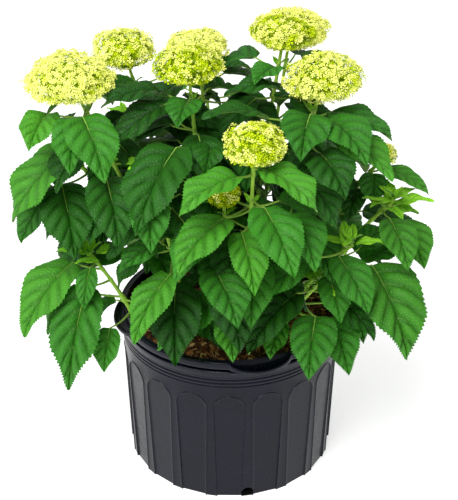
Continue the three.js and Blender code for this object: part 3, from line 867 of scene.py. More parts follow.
def add_heart(heap, shoot, rng):
    """The dark, bumpy heart that closes a head under its florets, its deep green a painted shade of the
    head's inside.
    """
    centre, half, up, down = head_of(shoot)
    bm = bmesh.new()
    bmesh.ops.create_icosphere(bm, subdivisions=4, radius=1.0)
    ball = template_of(bm)
    bumps = 0.05 * np.sin(ball.co @ rng.normal(0, 5, 3)) + 0.04 * np.sin(ball.co @ rng.normal(0, 9, 3))
    shell = ball.co * np.array([half, half, up])
    below = ball.co[:, 2] < 0
    shell[below, 2] = ball.co[below, 2] * down
    heap.add(ball, centre + shell * (HEART_SHARE + bumps)[:, None], FLORET_DEEP, 0.1)


def add_rays(heap, shoot, settings, rng):
    """The stalk that carries a head, and the rays that fork from it."""
    centre, half, _, down = head_of(shoot)
    foot = axis_at(shoot, shoot.tip[2] - 1.5)
    fork = axis_at(shoot, shoot.tip[2] + GAP + shoot.head[2] * 0.45)
    at = np.linspace(0, 1, 7)[:, None]
    radii = np.linspace(TWIG_RADIUS, STALK_RADIUS * 0.8, 7)
    rod(heap, rod_template(8, 6), 6, foot + (centre - foot) * at, radii, FLOWER_STALK, 0.5)
    ray = rod_template(5, 5)
    at = np.linspace(0, 1, 6)[:, None]
    sag = UP * np.sin(np.pi * at) * RAY_SAG
    radii = np.linspace(*RAY_RADII, 6)
    for k in range(settings.rays):
        a = math.tau * (k + rng.uniform(-0.2, 0.2)) / settings.rays
        reach = RAY_REACH * half
        end = centre + np.array([reach * math.cos(a), reach * math.sin(a), -0.35 * down])
        rod(heap, ray, 5, fork + (end - fork) * at - sag, radii, FLOWER_STALK, rng.uniform(0.3, 0.8))


def young_leaves(index, shoot, frames, rng):
    """Small leaves: a rosette on a shoot that bears no head, and one in the fork of each ruled leaf."""
    young = []
    if shoot.head is None:
        tip = axis_at(shoot, shoot.tip[2] - 2)
        for k, (length, rise) in enumerate(ROSETTE_PAIRS):
            for half in (0, 180):
                heading = index * 53 + 83 * k + half + rng.uniform(-9, 9)
                size = length * rng.uniform(0.88, 1.12)
                young.append(small_leaf(tip + UP * k * 1.5, heading, rise, size, ROSETTE_SHARE, 5 - k))
    for f in frames:
        heading = math.degrees(math.atan2(f.reach[1], f.reach[0])) + rng.uniform(-30, 30)
        point = f.node + UP * 2
        size = rng.uniform(*FORK_LEAF)
        young.append(small_leaf(point, heading, rng.uniform(40, 62), size, FORK_SHARE, 3))
    return young


def panel_chain(width, top, turns, taper=PANEL_TAPER, square=False):
    """A line up one side of a sector, over its arch and down the other, in the wall's unrolled plane."""
    spring = PANEL_TOP - PANEL_HALF_WIDTH
    side = [(width - taper * (1 - z / spring), z) for z in PANEL_LEVELS]
    if not square:
        arch = [(width * math.cos(t), spring + (top - spring) * math.sin(t)) for t in turns]
    else:
        arch = []
        for t in turns:
            reach = min(width / max(abs(math.cos(t)), 1e-9), (top - spring) / max(math.sin(t), 1e-9))
            arch.append((reach * math.cos(t), spring + reach * math.sin(t)))
    return [(-u, z) for u, z in side] + [(-u, z) for u, z in arch] + [(u, z) for u, z in reversed(side)]


def wall_radius(z):
    """The radius of the wall between the panels at a height."""
    return WALL_FOOT_RADIUS + (WALL_TOP_RADIUS - WALL_FOOT_RADIUS) * min(z, WALL_TOP) / WALL_TOP


def panel_radius(z, phi):
    """How far a flat panel lies from the pot's axis, at a height and an angle off its middle."""
    depth = PANEL_FOOT_DEPTH + (PANEL_TOP_DEPTH - PANEL_FOOT_DEPTH) * z / PANEL_TOP
    return depth / math.cos(phi)


def on_wall(u, z, extra, panel):
    """A point of the front sector by its place along the wall and its height, on the wall or the panel."""
    phi = u / (SECTOR_HALF / math.radians(180 / PANEL_COUNT))
    r = panel_radius(z, phi) + extra if panel else wall_radius(z) + extra
    return Vector((r * math.sin(phi), -r * math.cos(phi), z))


def pot_sector(settings):
    """One sector of the wall: its outline, the bead round the arch, and the flat panel set back within."""
    bm = bmesh.new()
    spring = PANEL_TOP - PANEL_HALF_WIDTH
    fork = math.atan2(SECTOR_TOP - spring, SECTOR_HALF)
    lower = [fork * k / 6 for k in range(6)]
    upper = [fork + (math.pi - 2 * fork) * k / 16 for k in range(17)]
    turns = lower + upper + [math.pi - t for t in reversed(lower)]
    bead = settings.bead_height / MM
    rows = [(panel_chain(SECTOR_HALF, SECTOR_TOP, turns, 0, True), 0, False)]
    for away, extra in ((2.4, 0), (1.7, 0.15 * bead), (1.2, 0.85 * bead), (0.7, bead), (0.2, 0.7 * bead)):
        rows.append((panel_chain(PANEL_HALF_WIDTH + away, PANEL_TOP + away, turns), extra, False))
    for away, extra in ((-0.5, 0.25), (-1.1, 0)):
        rows.append((panel_chain(PANEL_HALF_WIDTH + away, PANEL_TOP + away, turns), extra, True))
    for share in (0.8, 0.5, 0.25, 0):
        top = spring + (PANEL_TOP - spring) * share
        rows.append((panel_chain(PANEL_HALF_WIDTH * share, top, turns, PANEL_TAPER * share), 0, True))
    chain, extra, panel = rows[0]
    edges = line_of(bm, [on_wall(u, z, extra, panel) for u, z in chain])[1]
    for chain, extra, panel in rows[1:]:
        fresh = points_in(bmesh.ops.extrude_edge_only(bm, edges=edges)["geom"])
        for v, (u, z) in zip(fresh, chain):
            v.co = on_wall(u, z, extra, panel)
        new = set(fresh)
        edges = [e for e in bm.edges if all(v in new for v in e.verts)]
    bmesh.ops.remove_doubles(bm, verts=bm.verts, dist=0.01)
    return bm


def boundary_ring(bm, z):
    """The open edges that lie at one height."""
    return [e for e in bm.edges if e.is_boundary and all(abs(v.co.z - z) < 0.05 for v in e.verts)]


def next_ring(bm, edges, radius, z, reach=0.0, sink=0.0):
    """Runs an open edge on to a new ring round the pot, which the grips push out and sink."""
    made = bmesh.ops.extrude_edge_only(bm, edges=edges)["geom"]
    for v in points_in(made):
        a = math.atan2(v.co.y, v.co.x)
        r = radius + reach * grip_share(a)
        v.co = (r * math.cos(a), r * math.sin(a), z - sink * grip_share(a))
    return [g for g in made if isinstance(g, bmesh.types.BMEdge)]


def grip_share(a):
    """How far round a grip a heading lies: 1 at its middle, and 0 beyond its ends."""
    first = math.radians(GRIP_FIRST - 90)
    step = math.tau / GRIP_COUNT
    off = (a - first + step / 2) % step - step / 2
    x = LIP_RADIUS * math.sin(off) / GRIP_HALF_WIDTH
    return max(0.0, 1 - x * x) ** 0.6 if abs(x) < 1 else 0.0


def build_pot(settings):
    """The pot's shell: the wall of sectors, the grooves, neck and lip, then the inside and the underside."""
    bm = pot_sector(settings)
    repeat_round(bm, PANEL_COUNT)
    turn = Matrix.Rotation(math.radians(PANEL_FIRST), 3, "Z")
    bmesh.ops.rotate(bm, cent=(0, 0, 0), matrix=turn, verts=bm.verts)
    bmesh.ops.remove_doubles(bm, verts=bm.verts, dist=0.02)

    edge = boundary_ring(bm, SECTOR_TOP)
    groove = settings.groove_depth / MM
    for foot in GROOVE_FEET:
        for drop, rise in GROOVE_ROWS:
            edge = next_ring(bm, edge, wall_radius(foot) - drop * groove, foot + rise)
    for r, z in NECK_ROWS:
        edge = next_ring(bm, edge, r, z)
    dish = settings.grip_dish / MM
    for r, share, z, sink, dished in LIP_ROWS:
        edge = next_ring(bm, edge, r, z, GRIP_REACH * share, sink + dished * dish)
    for r, z in INNER_ROWS:
        edge = next_ring(bm, edge, r, z)
    for r in RING_RADII:
        edge = next_ring(bm, edge, r, FLOOR)
    bmesh.ops.contextual_create(bm, geom=edge)
    under = boundary_ring(bm, 0)
    for r in (UNDERSIDE_RADIUS,) + RING_RADII:
        under = next_ring(bm, under, r, 0)
    bmesh.ops.contextual_create(bm, geom=under)
    bmesh.ops.recalc_face_normals(bm, faces=bm.faces)
    return bm


def drain_cutter(inner, floor):
    """Lying cylinders at the foot of the drained ribs, from a radius outwards, cut off level with a floor."""
    bm = bmesh.new()
    for k in range(DRAIN_COUNT):
        turn = Matrix.Rotation(math.radians(RIB_FIRST + k * 360 / DRAIN_COUNT), 4, "Z")
        middle = Matrix.Translation((0, -(inner + LIP_RADIUS) / 2, DRAIN_HEIGHT))
        lying = middle @ Matrix.Rotation(math.pi / 2, 4, "X")
        bmesh.ops.create_cone(
            bm, cap_ends=True, segments=32, radius1=DRAIN_RADIUS, radius2=DRAIN_RADIUS,
            depth=LIP_RADIUS - inner, matrix=turn @ lying,
        )
    bmesh.ops.bisect_plane(
        bm, geom=everything(bm), plane_co=(0, 0, floor), plane_no=(0, 0, -1), clear_outer=True
    )
    bmesh.ops.holes_fill(bm, edges=[e for e in bm.edges if e.is_boundary])
    return bm


def cut_with(made, cutter):
    """Takes the cutter's shape out of a piece and puts the cutter away."""
    cut = made.modifiers.new("drain-holes", "BOOLEAN")
    cut.operation = "DIFFERENCE"
    cut.solver = "EXACT"
    # The cut faces take the cutter's material, which for the drain holes is painted shade.
    cut.material_mode = "TRANSFER"
    cut.object = cutter
    graph = bpy.context.evaluated_depsgraph_get()
    mesh = bpy.data.meshes.new_from_object(made.evaluated_get(graph))
    made.modifiers.remove(cut)
    old = made.data
    made.data = mesh
    bpy.data.meshes.remove(old)
    bpy.data.objects.remove(cutter)
    bm = bmesh.new()
    bm.from_mesh(mesh)
    bmesh.ops.remove_doubles(bm, verts=bm.verts, dist=0.00002)
    bm.to_mesh(mesh)
    bm.free()


def build_soil(settings):
    """A rough round of potting mix down to the pot's floor."""
    bm = bmesh.new()
    low = FLOOR + GAP
    outline = [(0, low), (60, low), (130, low), (132, low + 4), (140.2, 199), (140.9, 203)]
    for k in range(SOIL_RINGS + 1):
        rise = SOIL_CROWN * min(1, k / SOIL_EDGE_RINGS)
        outline.append((SOIL_RADIUS * (1 - k / SOIL_RINGS), SOIL_EDGE + rise))
    spin_line(bm, [(r, 0, z) for r, z in outline], 160, 0.01)
    bmesh.ops.recalc_face_normals(bm, faces=bm.faces)
    clod = settings.clod_height / MM
    for v in bm.verts:
        if v.co.z > SOIL_TOP:
            x, y = v.co.x, v.co.y
            lump = waves(x, y, (0.21, 1.3, 0.13), (0.19, 1.7, 0.11))
            grain = waves(x, y, (0.9, 2, 0.7), (0.8, 1.5, 0.6))
            v.co.z += clod * (0.7 * lump + 0.3 * grain)
    return bm


def waves(x, y, across, along):
    """Winding waves over a plane, from their step, how far they wind and the winding's own step, each way."""
    first = math.sin(x * across[0] + across[1] * math.sin(y * across[2]))
    return first * math.sin(y * along[0] + along[1] * math.sin(x * along[2]))


def chip_template():
    """A small block with its edges cut off."""
    bm = bmesh.new()
    bmesh.ops.create_cube(bm, size=2.0)
    bmesh.ops.bevel(
        bm, geom=bm.edges[:], offset=0.25, segments=1, profile=0.5, affect="EDGES", material=-1
    )
    bmesh.ops.triangulate(bm, faces=bm.faces)
    return template_of(bm)


def add_chips(heap, settings, rng):
    """Bark chips strewn over the soil, lying nearly flat, the first of them drawn out to straw."""
    chip = chip_template()
    count = settings.chips
    straws = count // 12
    r = CHIP_SPREAD * np.sqrt(rng.uniform(0, 1, count))
    a = rng.uniform(0, math.tau, count)
    z = CHIP_HEIGHT + rng.uniform(-0.8, 2.2, count)
    places = np.stack([r * np.cos(a), r * np.sin(a), z], axis=-1)
    normals = unit(rng.normal(0, 0.28, (count, 3)) + UP)
    bases = bases_of(normals, rng.uniform(0, math.tau, count))
    long = rng.gamma(3.0, 1.0, count).clip(1.2, 9)
    sizes = np.stack([long, long * rng.uniform(0.25, 0.6, count), rng.uniform(0.5, 1.3, count)], axis=-1)
    sizes[:straws] *= (1.6, 0.25, 0.6)
    places[:, :2] *= np.minimum(1, (CHIP_LIMIT - long) / np.maximum(r, 1))[:, None]
    rough = 1 + rng.uniform(-0.22, 0.22, (count, len(chip.co), 1))
    points = np.einsum("npi,nij->npj", chip.co[None] * sizes[:, None] * rough, bases) + places[:, None]
    kinds = rng.choice(3, count, p=(0.5, 0.38, 0.12))
    kinds[:straws] = 2
    slots = np.repeat(kinds[:, None], len(chip.sizes), axis=1)
    add_many(heap, chip, points, slots, rng.uniform(0, 1, count))


def linear(colour):
    """An sRGB colour of 0 to 255 as linear light."""
    return [c / 255 / 12.92 if c <= 10.3 else ((c / 255 + 0.055) / 1.055) ** 2.4 for c in colour] + [1.0]


class Nodes:
    """A material's shader and a few ways of feeding it."""

    def __init__(self, name):
        self.material = bpy.data.materials.new(name)
        self.material.use_nodes = True
        self.tree = self.material.node_tree
        self.shader = self.tree.nodes["Principled BSDF"]
        self.place = self.node("TexCoord").outputs["Object"]

    def node(self, kind, **inputs):
        """A new node of a kind, with the named inputs set or linked."""
        made = self.tree.nodes.new("ShaderNode" + kind)
        for title, value in inputs.items():
            self.feed(value, made.inputs[title])
        return made

    def feed(self, value, socket):
        if isinstance(value, bpy.types.NodeSocket):
            self.tree.links.new(value, socket)
        else:
            socket.default_value = value

    def noise(self, scale, detail=3.0, rough=0.6, place=None):
        made = self.node("TexNoise", Vector=place or self.place, Scale=scale, Detail=detail, Roughness=rough)
        return made.outputs["Fac"]

    def cells(self, scale):
        """A net of fine veins: 0 along them and 1 in the middle of the cells between."""
        node = self.node("TexVoronoi", Vector=self.place, Scale=scale)
        node.feature = "DISTANCE_TO_EDGE"
        return self.maths("MINIMUM", self.times(node.outputs["Distance"], 3.5), 1.0)

    def attribute(self, name):
        node = self.node("Attribute")
        node.attribute_name = name
        return node.outputs["Fac"]

    def ramp(self, value, low, high):
        """A colour that runs from one stop to another, each a value and a colour."""
        node = self.node("ValToRGB", Fac=value)
        for element, stop in zip(node.color_ramp.elements, (low, high)):
            element.position, element.color = stop
        return node.outputs["Color"]

    def mix(self, share, first, second):
        node = self.node("Mix")
        node.data_type = "RGBA"
        for socket, value in ((0, share), (6, first), (7, second)):
            self.feed(value, node.inputs[socket])
        return node.outputs[2]

    def maths(self, kind, first, second):
        node = self.node("Math")
        node.operation = kind
        self.feed(first, node.inputs[0])
        self.feed(second, node.inputs[1])
        return node.outputs[0]

    def plus(self, first, second):
        return self.maths("ADD", first, second)

    def times(self, first, second):
        return self.maths("MULTIPLY", first, second)

    def bump(self, height, strength, distance):
        node = self.node("Bump", Height=height, Strength=strength, Distance=distance)
        self.feed(node.outputs["Normal"], self.shader.inputs["Normal"])

    def finish(self, colour, rough, specular):
        self.feed(colour, self.shader.inputs["Base Color"])
        self.feed(rough, self.shader.inputs["Roughness"])
        self.feed(specular, self.shader.inputs["Specular IOR Level"])
        return self.material


def leaf_material(name, deep, light, vein, rough, specular):
    """A blade's green: lighter by its tint and in patches, with painted shade darker along the fine veins and
    deeper in the valleys by the side veins and the midrib, and a paler line on each vein.
    """
    n = Nodes(name)
    patch = n.noise(34.0, 4.0)
    net = n.cells(230.0)
    near = n.attribute("vein")
    share = n.plus(n.times(n.attribute("tint"), 0.85), n.times(patch, 0.3))
    # Painted shade: darker along the fine veins' net, lighter in the middle of its cells.
    share = n.plus(n.plus(share, n.times(net, 0.16)), 0.14)
    # Painted shade: deeper in the valleys near each side vein and the midrib.
    share = n.maths("SUBTRACT", share, n.times(n.maths("POWER", near, 1.6), 0.46))
    body = n.ramp(share, (0.0, linear(deep)), (0.8, linear(light)))
    line = n.times(n.maths("POWER", near, 9.0), 0.5)
    n.bump(n.plus(net, n.times(n.noise(620.0, 2.0), 0.3)), 0.7, 0.0007)
    return n.finish(n.mix(line, body, linear(vein)), rough, specular)


def mottled(name, deep, light, scale, rough, specular, bump=None, stretch=None):
    """A surface that wavers between two near colours. Its bump is a scale, a strength and a depth."""
    n = Nodes(name)
    place = n.node("Mapping", Vector=n.place, Scale=stretch).outputs["Vector"] if stretch else None
    patch = n.noise(scale, 4.0, 0.6, place)
    share = n.plus(n.times(n.attribute("tint"), 0.5), n.times(patch, 0.6))
    if bump:
        n.bump(n.noise(bump[0], 3.0, 0.6, place), bump[1], bump[2])
    return n.finish(n.ramp(share, (0.2, linear(deep)), (0.85, linear(light))), rough, specular)


def plastic(name, deep, light, rough):
    """Moulded plastic, cloudy in colour and scuffed in places."""
    n = Nodes(name)
    body = n.ramp(n.noise(26.0, 5.0, 0.65), (0.3, linear(deep)), (0.7, linear(light)))
    scuff = n.ramp(n.noise(90.0, 4.0), (0.35, [rough] * 3 + [1]), (0.7, [rough + 0.1] * 3 + [1]))
    n.bump(n.noise(900.0, 2.0), 0.12, 0.0003)
    return n.finish(body, scuff, 0.2)


def rested(made, replaced=()):
    """Sets a piece on the body, in place of its solids."""
    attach(made, "root")
    if replaced:
        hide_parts(*replaced)


def leaf_materials(settings):
    """The blades' materials in the order of their tints, then the one of every underside."""
    looks = (
        # Deep, middle and bright are partly the leaves' own greens and partly painted shade and painted
        # light; fresh is the young leaves' own green.
        ("leaf-deep", (6, 40, 4), (34, 92, 16), (64, 112, 40)),
        ("leaf-middle", (14, 66, 10), (56, 128, 32), (104, 158, 66)),
        ("leaf-bright", (16, 74, 10), (72, 146, 36), (118, 172, 74)),
        ("leaf-fresh", (92, 176, 20), (154, 224, 52), (190, 228, 110)),
    )
    made = [leaf_material(*look, 0.5, settings.leaf_gloss) for look in looks]
    made.append(leaf_material("leaf-under", (76, 128, 50), (124, 168, 86), (160, 190, 116), 0.62, 0.2))
    return made


def length_setting(title, text, default, most, least=0.0):
    """A length in metres that a user can change."""
    return FloatProperty(
        name=title, description=text, default=default, min=least, max=most,
        unit="LENGTH", subtype="DISTANCE", precision=4,
    )


def share_setting(title, text, default, most, least=0.0):
    """A plain number that a user can change."""
    return FloatProperty(name=title, description=text, default=default, min=least, max=most)


class PotSettings(PropertyGroup):
    bead_height: length_setting(
        "Bead Height", "How far the bead stands out round each panel", 0.0010, 0.003
    )
    groove_depth: length_setting(
        "Groove Depth", "Depth of the three fine grooves under the neck", 0.0008, 0.003
    )
    grip_dish: length_setting("Grip Dish", "How deeply the top of each grip is dished", 0.0110, 0.0115)


class SoilSettings(PropertyGroup):
    clod_height: length_setting("Clod Height", "How far the soil's surface rises and falls", 0.0014, 0.004)
    chips: IntProperty(
        name="Bark Chips", description="Number of bark chips strewn on the soil",
        default=3000, min=100, max=4000,
    )


class LimbSettings(PropertyGroup):
    bark_relief: share_setting(
        "Bark Relief", "Ridges of the bark, as a share of the stem's radius", 0.07, 0.2
    )
    node_swelling: share_setting(
        "Node Swelling", "How much thicker a stem is at a joint, as a share of its radius", 0.3, 0.6
    )


class LeafSettings(PropertyGroup):
    tooth_depth: length_setting(
        "Tooth Depth", "Depth of the teeth along a large leaf's edge", 0.0018, 0.004
    )
    vein_relief: length_setting(
        "Vein Relief", "How far the blade swells between its side veins", 0.0046, 0.008
    )
    blade_thickness: length_setting(
        "Blade Thickness", "Thickness of a large leaf's blade", 0.0007, 0.002, 0.0003
    )
    leaf_gloss: share_setting("Leaf Gloss", "Strength of the sheen on a leaf's upper side", 0.2, 1.0)


class BlossomSettings(PropertyGroup):
    floret_radius: length_setting(
        "Floret Radius", "Reach of one floret's sepals from its middle", 0.0036, 0.01, 0.002
    )
    florets_per_area: share_setting(
        "Floret Density", "Florets in a head for each square millimetre of its squared half width",
        0.66, 0.8, 0.05,
    )
    raggedness: share_setting(
        "Raggedness", "Share of the tufts under a head's rim that are nearly bare", 0.3, 0.9
    )
    rays: IntProperty(
        name="Rays", description="Branches that carry one head", default=11, min=3, max=16
    )


class StageSettings(PropertyGroup):
    floor_colour: FloatVectorProperty(
        name="Floor Colour", description="Colour of the studio floor",
        default=(0.9, 0.9, 0.9), size=3, min=0.0, max=1.0, subtype="COLOR",
    )
    floor_glow: share_setting(
        "Floor Glow", "How much light the floor gives off, as a light table does", 0.58, 2.0
    )
    key_power: FloatProperty(
        name="Key Light", description="Power of the large lamp above the front",
        default=66.0, min=0.0, max=200.0, unit="POWER",
    )
    sky_strength: share_setting(
        "Sky Strength", "Strength of the even white light from all round", 0.53, 3.0
    )
    lens: FloatProperty(
        name="Lens", description="The camera's focal length",
        default=90.0, min=20.0, max=200.0, unit="CAMERA",
    )


class HYDRANGEA_OT_pot(Operator):
    """Builds the ribbed nursery pot with its panels, lip, grips and drain holes"""

    bl_idname = "hydrangea.pot"
    bl_label = "Build Pot"
    bl_options = {"REGISTER", "UNDO"}

    def execute(self, context):
        bm = build_pot(context.scene.hydrangea_pot)
        shell = plastic("pot-plastic", (3, 5, 17), (6, 10, 28), 0.24)
        made = object_of(bm, "pot-shell", shell)
        # Near-black for the faces that the drain cuts leave: painted shade inside the holes.
        hole_shade = plastic("drain-hole-painted-shade", (1, 1, 1), (4, 4, 4), 0.8)
        for inner, floor in DRAIN_CUTS:
            cut_with(made, object_of(drain_cutter(inner, floor), "drain-cutter", hole_shade))
        made.data.shade_smooth()
        made.data.set_sharp_from_angle(angle=math.radians(32))
        rested(made, ["pot"])
        return {"FINISHED"}


class HYDRANGEA_OT_soil(Operator):
    """Builds the potting mix and the bark chips on it"""

    bl_idname = "hydrangea.soil"
    bl_label = "Build Soil"
    bl_options = {"REGISTER", "UNDO"}

    def execute(self, context):
        settings = context.scene.hydrangea_soil
        rng = np.random.default_rng(SOIL_SEED)
        looks = [
            mottled("bark-dark", (46, 28, 16), (96, 60, 32), 180.0, 0.9, 0.2, (700.0, 0.8, 0.001)),
            mottled("bark-brown", (104, 64, 34), (160, 106, 60), 180.0, 0.88, 0.2, (700.0, 0.8, 0.001)),
            mottled("bark-pale", (168, 124, 76), (212, 176, 122), 180.0, 0.85, 0.2, (700.0, 0.6, 0.001)),
        ]
        heap = Heap()
        bed = template_of(build_soil(settings))
        heap.add(bed, bed.co, 0, 0.35)
        add_chips(heap, settings, rng)
        made = heap.join("potting-mix", looks, crease=40)
        rested(made, ["soil"])
        return {"FINISHED"}


class HYDRANGEA_OT_stems(Operator):
    """Builds the bare woody stems from the soil up to the first leaves"""

    bl_idname = "hydrangea.stems"
    bl_label = "Build Bare Stems"
    bl_options = {"REGISTER", "UNDO"}

    def execute(self, context):
        settings = context.scene.hydrangea_limbs
        rng = np.random.default_rng(STEM_SEED)
        rings = 60
        line = rod_template(14, rings)
        heap = Heap()
        for index, shoot in enumerate(SHOOTS):
            joint = joint_of(index, shoot)
            heights = np.linspace(SOIL_TOP - 3, joint + 1, rings + 1)
            radii = np.interp(heights, (SOIL_TOP, joint), (STEM_RADIUS, JOINT_RADIUS))
            scars = np.arange(joint - 6, SOIL_TOP + 12, -PAIR_SPACE * 0.62)
            radii = swollen(radii, heights, scars, settings.node_swelling, 2.6)
            ribs = partial(bark_ribs, rng.uniform(0, 6.28, 3), settings.bark_relief)
            rod(heap, line, rings, axis_at(shoot, heights), radii, 0, rng.uniform(0.1, 0.9), ribs)
        bark = mottled(
            "stem-bark", (92, 70, 40), (168, 136, 88), 70.0, 0.75, 0.3, (160.0, 0.7, 0.0012), (1, 1, 0.25)
        )
        made = heap.join("bare-stems", [bark])
        rested(made, ["stem-" + shoot.name for shoot in SHOOTS])
        return {"FINISHED"}


class HYDRANGEA_OT_twigs(Operator):
    """Builds the green twigs above the bare stems and the leafstalks on them"""

    bl_idname = "hydrangea.twigs"
    bl_label = "Build Twigs"
    bl_options = {"REGISTER", "UNDO"}

    def execute(self, context):
        settings = context.scene.hydrangea_limbs
        rng = np.random.default_rng(TWIG_SEED)
        rings = 48
        line = rod_template(12, rings)
        stalk = rod_template(8, 10)
        heap = Heap()
        for index, shoot in enumerate(SHOOTS):
            joint = joint_of(index, shoot)
            grown = [f for f, _ in leaves_of(index, shoot)]
            heights = np.linspace(joint, shoot.tip[2], rings + 1)
            radii = np.interp(heights, (joint, shoot.tip[2]), (JOINT_RADIUS, TWIG_RADIUS))
            nodes = sorted({round(float(f.node[2])) for f in grown})
            radii = swollen(radii, heights, nodes, settings.node_swelling, 2.8)
            rod(heap, line, rings, axis_at(shoot, heights), np.minimum(radii, 5), 0, rng.uniform(0.2, 0.8))
            for f in grown + filling_leaves(index, shoot):
                petiole(heap, stalk, 10, f, rng)
        looks = [
            mottled(
                "twig-green", (120, 176, 40), (172, 216, 78), 90.0, 0.6, 0.3,
                (300.0, 0.4, 0.0006), (1, 1, 0.3),
            ),
            mottled("leafstalk-green", (112, 158, 48), (160, 198, 84), 90.0, 0.55, 0.25),
        ]
        made = heap.join("green-twigs", looks)
        rested(made)
        return {"FINISHED"}


class HYDRANGEA_OT_leaves(Operator):
    """Builds the leaves of every shoot, with their teeth and veins, in four pieces"""

    bl_idname = "hydrangea.leaves"
    bl_label = "Build Leaves"
    bl_options = {"REGISTER", "UNDO"}

    def execute(self, context):
        settings = context.scene.hydrangea_leaves
        looks = leaf_materials(settings)
        large, middling, small = (blade_template(*grid) for grid in (LARGE_GRID, MIDDLING_GRID, SMALL_GRID))
        total = 0
        for number, (title, names) in enumerate(LEAF_GROUPS.items()):
            rng = np.random.default_rng(LEAF_SEED + number)
            heap = Heap()
            for index, shoot in enumerate(SHOOTS):
                if shoot.name not in names:
                    continue
                tint = SPRAY_TINTS[shoot.name]
                # A tint deeper, as painted shade: for some low ruled leaves and for the filling leaves inside
                # the crown.
                deeper = max(0, tint - 1)
                grown = leaves_of(index, shoot)
                total += len(grown)
                for f, kind in grown:
                    shade = rng.uniform(0, 0.9)
                    if kind is None:
                        kind = deeper if shade < 0.4 and f.node[2] < SHADED_BELOW else tint
                    else:
                        shade = 0.2 + 0.5 * shade
                    add_blade(heap, large, blade_points(large, f, rng, settings), kind, shade)
                for f in filling_leaves(index, shoot):
                    points = blade_points(middling, f, rng, settings)
                    add_blade(heap, middling, points, deeper, rng.uniform(0.1, 0.7))
                joints = [f for f, kind in grown if kind is None]
                for f in young_leaves(index, shoot, joints, rng):
                    points = blade_points(small, f, rng, settings)
                    add_blade(heap, small, points, FRESH, rng.uniform(0.2, 0.9))
            made = heap.join(title, looks, crease=60)
            rested(made, ["leaves-" + name for name in names])
        if total < LEAVES_AT_LEAST:
            raise RuntimeError(f"only {total} leaves were found on the solids")
        return {"FINISHED"}


class HYDRANGEA_OT_blossom(Operator):
    """Builds the flower heads of small florets, with their rays and stalks"""

    bl_idname = "hydrangea.blossom"
    bl_label = "Build Flower Heads"
    bl_options = {"REGISTER", "UNDO"}

    def execute(self, context):
        settings = context.scene.hydrangea_blossom
        looks = [
            mottled("floret-deep", (124, 156, 4), (158, 186, 10), 160.0, 0.75, 0.1),
            mottled("floret-lime", (184, 208, 10), (212, 228, 28), 160.0, 0.75, 0.1),
            mottled("floret-pale", (230, 240, 84), (249, 252, 142), 160.0, 0.75, 0.1),
            mottled("floret-bud", (172, 198, 18), (214, 226, 56), 160.0, 0.7, 0.15),
            mottled("flower-stalk", (154, 206, 54), (200, 236, 92), 90.0, 0.6, 0.25),
        ]
        bearing = [shoot for shoot in SHOOTS if shoot.head]
        halves = (
            ("blossom-of-the-front", [s for s in bearing if s.tip[1] < 0]),
            ("blossom-of-the-back", [s for s in bearing if s.tip[1] >= 0]),
        )
        for number, (title, shoots) in enumerate(halves):
            rng = np.random.default_rng(BLOSSOM_SEED + number)
            heap = Heap()
            for shoot in shoots:
                add_florets(heap, shoot, settings, rng)
                add_heart(heap, shoot, rng)
                add_rays(heap, shoot, settings, rng)
            made = heap.join(title, looks, crease=50)
            rested(made, ["flower-" + shoot.name for shoot in shoots])
        return {"FINISHED"}


class HYDRANGEA_OT_stage(Operator):
    """Sets the floor, the sky, the lamp and the camera"""

    bl_idname = "hydrangea.stage"
    bl_label = "Set Stage"
    bl_options = {"REGISTER", "UNDO"}

    def execute(self, context):
        settings = context.scene.hydrangea_stage
        scene = context.scene
        bm = bmesh.new()
        bmesh.ops.create_grid(bm, x_segments=4, y_segments=4, size=FLOOR_REACH)
        n = Nodes("studio-floor")
        pale = list(settings.floor_colour)
        paler = [min(1, c * 1.02) for c in pale]
        tone = n.ramp(n.noise(2.0, 2.0), (0.3, pale + [1]), (0.7, paler + [1]))
        n.feed(tone, n.shader.inputs["Emission Color"])
        n.shader.inputs["Emission Strength"].default_value = settings.floor_glow
        floor = object_of(bm, "studio-floor", n.finish(tone, 0.9, 0.1))

        world = bpy.data.worlds.new("sky")
        world.use_nodes = True
        sky = world.node_tree.nodes["Background"]
        sky.inputs["Color"].default_value = (1, 1, 1, 1)
        sky.inputs["Strength"].default_value = settings.sky_strength
        scene.world = world

        data = bpy.data.lights.new("key", "AREA")
        data.shape = "SQUARE"
        data.size = LAMP_SIZE
        data.energy = settings.key_power
        lamp = bpy.data.objects.new("key", data)
        lamp.location = LAMP_PLACE
        lamp.rotation_euler = (LAMP_AIM - LAMP_PLACE).to_track_quat("-Z", "Y").to_euler()
        scene.collection.objects.link(lamp)

        data = bpy.data.cameras.new("camera")
        data.lens = settings.lens
        data.sensor_width = SENSOR
        camera = bpy.data.objects.new("camera", data)
        camera.location = CAMERA_PLACE
        camera.rotation_euler = (math.radians(CAMERA_TILT), 0, 0)
        scene.collection.objects.link(camera)
        scene.camera = camera
        scene.view_settings.view_transform = "Standard"
        scene.view_settings.look = "None"
        return {"FINISHED"}


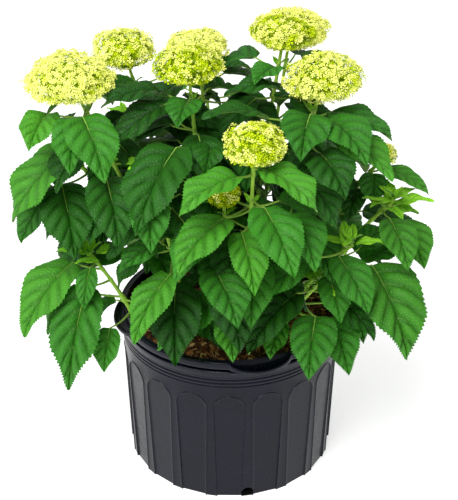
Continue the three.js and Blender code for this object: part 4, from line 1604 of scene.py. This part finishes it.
class HYDRANGEA_PT_panel(Panel):
    """Lists the pieces and their settings"""

    bl_idname = "HYDRANGEA_PT_panel"
    bl_label = "Smooth Hydrangea"
    bl_space_type = "VIEW_3D"
    bl_region_type = "UI"
    bl_category = "Hydrangea"

    def draw(self, context):
        for settings, operators in STEPS:
            box = self.layout.box()
            group = getattr(context.scene, settings)
            for title in group.bl_rna.properties.keys():
                if title not in ("rna_type", "name"):
                    box.prop(group, title)
            for operator in operators:
                box.operator(operator)


STEPS = (
    ("hydrangea_pot", ("hydrangea.pot",)),
    ("hydrangea_soil", ("hydrangea.soil",)),
    ("hydrangea_limbs", ("hydrangea.stems", "hydrangea.twigs")),
    ("hydrangea_leaves", ("hydrangea.leaves",)),
    ("hydrangea_blossom", ("hydrangea.blossom",)),
    ("hydrangea_stage", ("hydrangea.stage",)),
)
GROUPS = {
    "hydrangea_pot": PotSettings,
    "hydrangea_soil": SoilSettings,
    "hydrangea_limbs": LimbSettings,
    "hydrangea_leaves": LeafSettings,
    "hydrangea_blossom": BlossomSettings,
    "hydrangea_stage": StageSettings,
}
CLASSES = tuple(GROUPS.values()) + (
    HYDRANGEA_OT_pot,
    HYDRANGEA_OT_soil,
    HYDRANGEA_OT_stems,
    HYDRANGEA_OT_twigs,
    HYDRANGEA_OT_leaves,
    HYDRANGEA_OT_blossom,
    HYDRANGEA_OT_stage,
    HYDRANGEA_PT_panel,
)


def register():
    for item in CLASSES:
        bpy.utils.register_class(item)
    for title, group in GROUPS.items():
        setattr(bpy.types.Scene, title, PointerProperty(type=group))


def unregister():
    for title in GROUPS:
        delattr(bpy.types.Scene, title)
    for item in reversed(CLASSES):
        bpy.utils.unregister_class(item)


def main():
    register()
    bpy.ops.hydrangea.pot()
    bpy.ops.hydrangea.soil()
    bpy.ops.hydrangea.stems()
    bpy.ops.hydrangea.twigs()
    bpy.ops.hydrangea.leaves()
    bpy.ops.hydrangea.blossom()
    bpy.ops.hydrangea.stage()


if __name__ == "__main__":
    main()
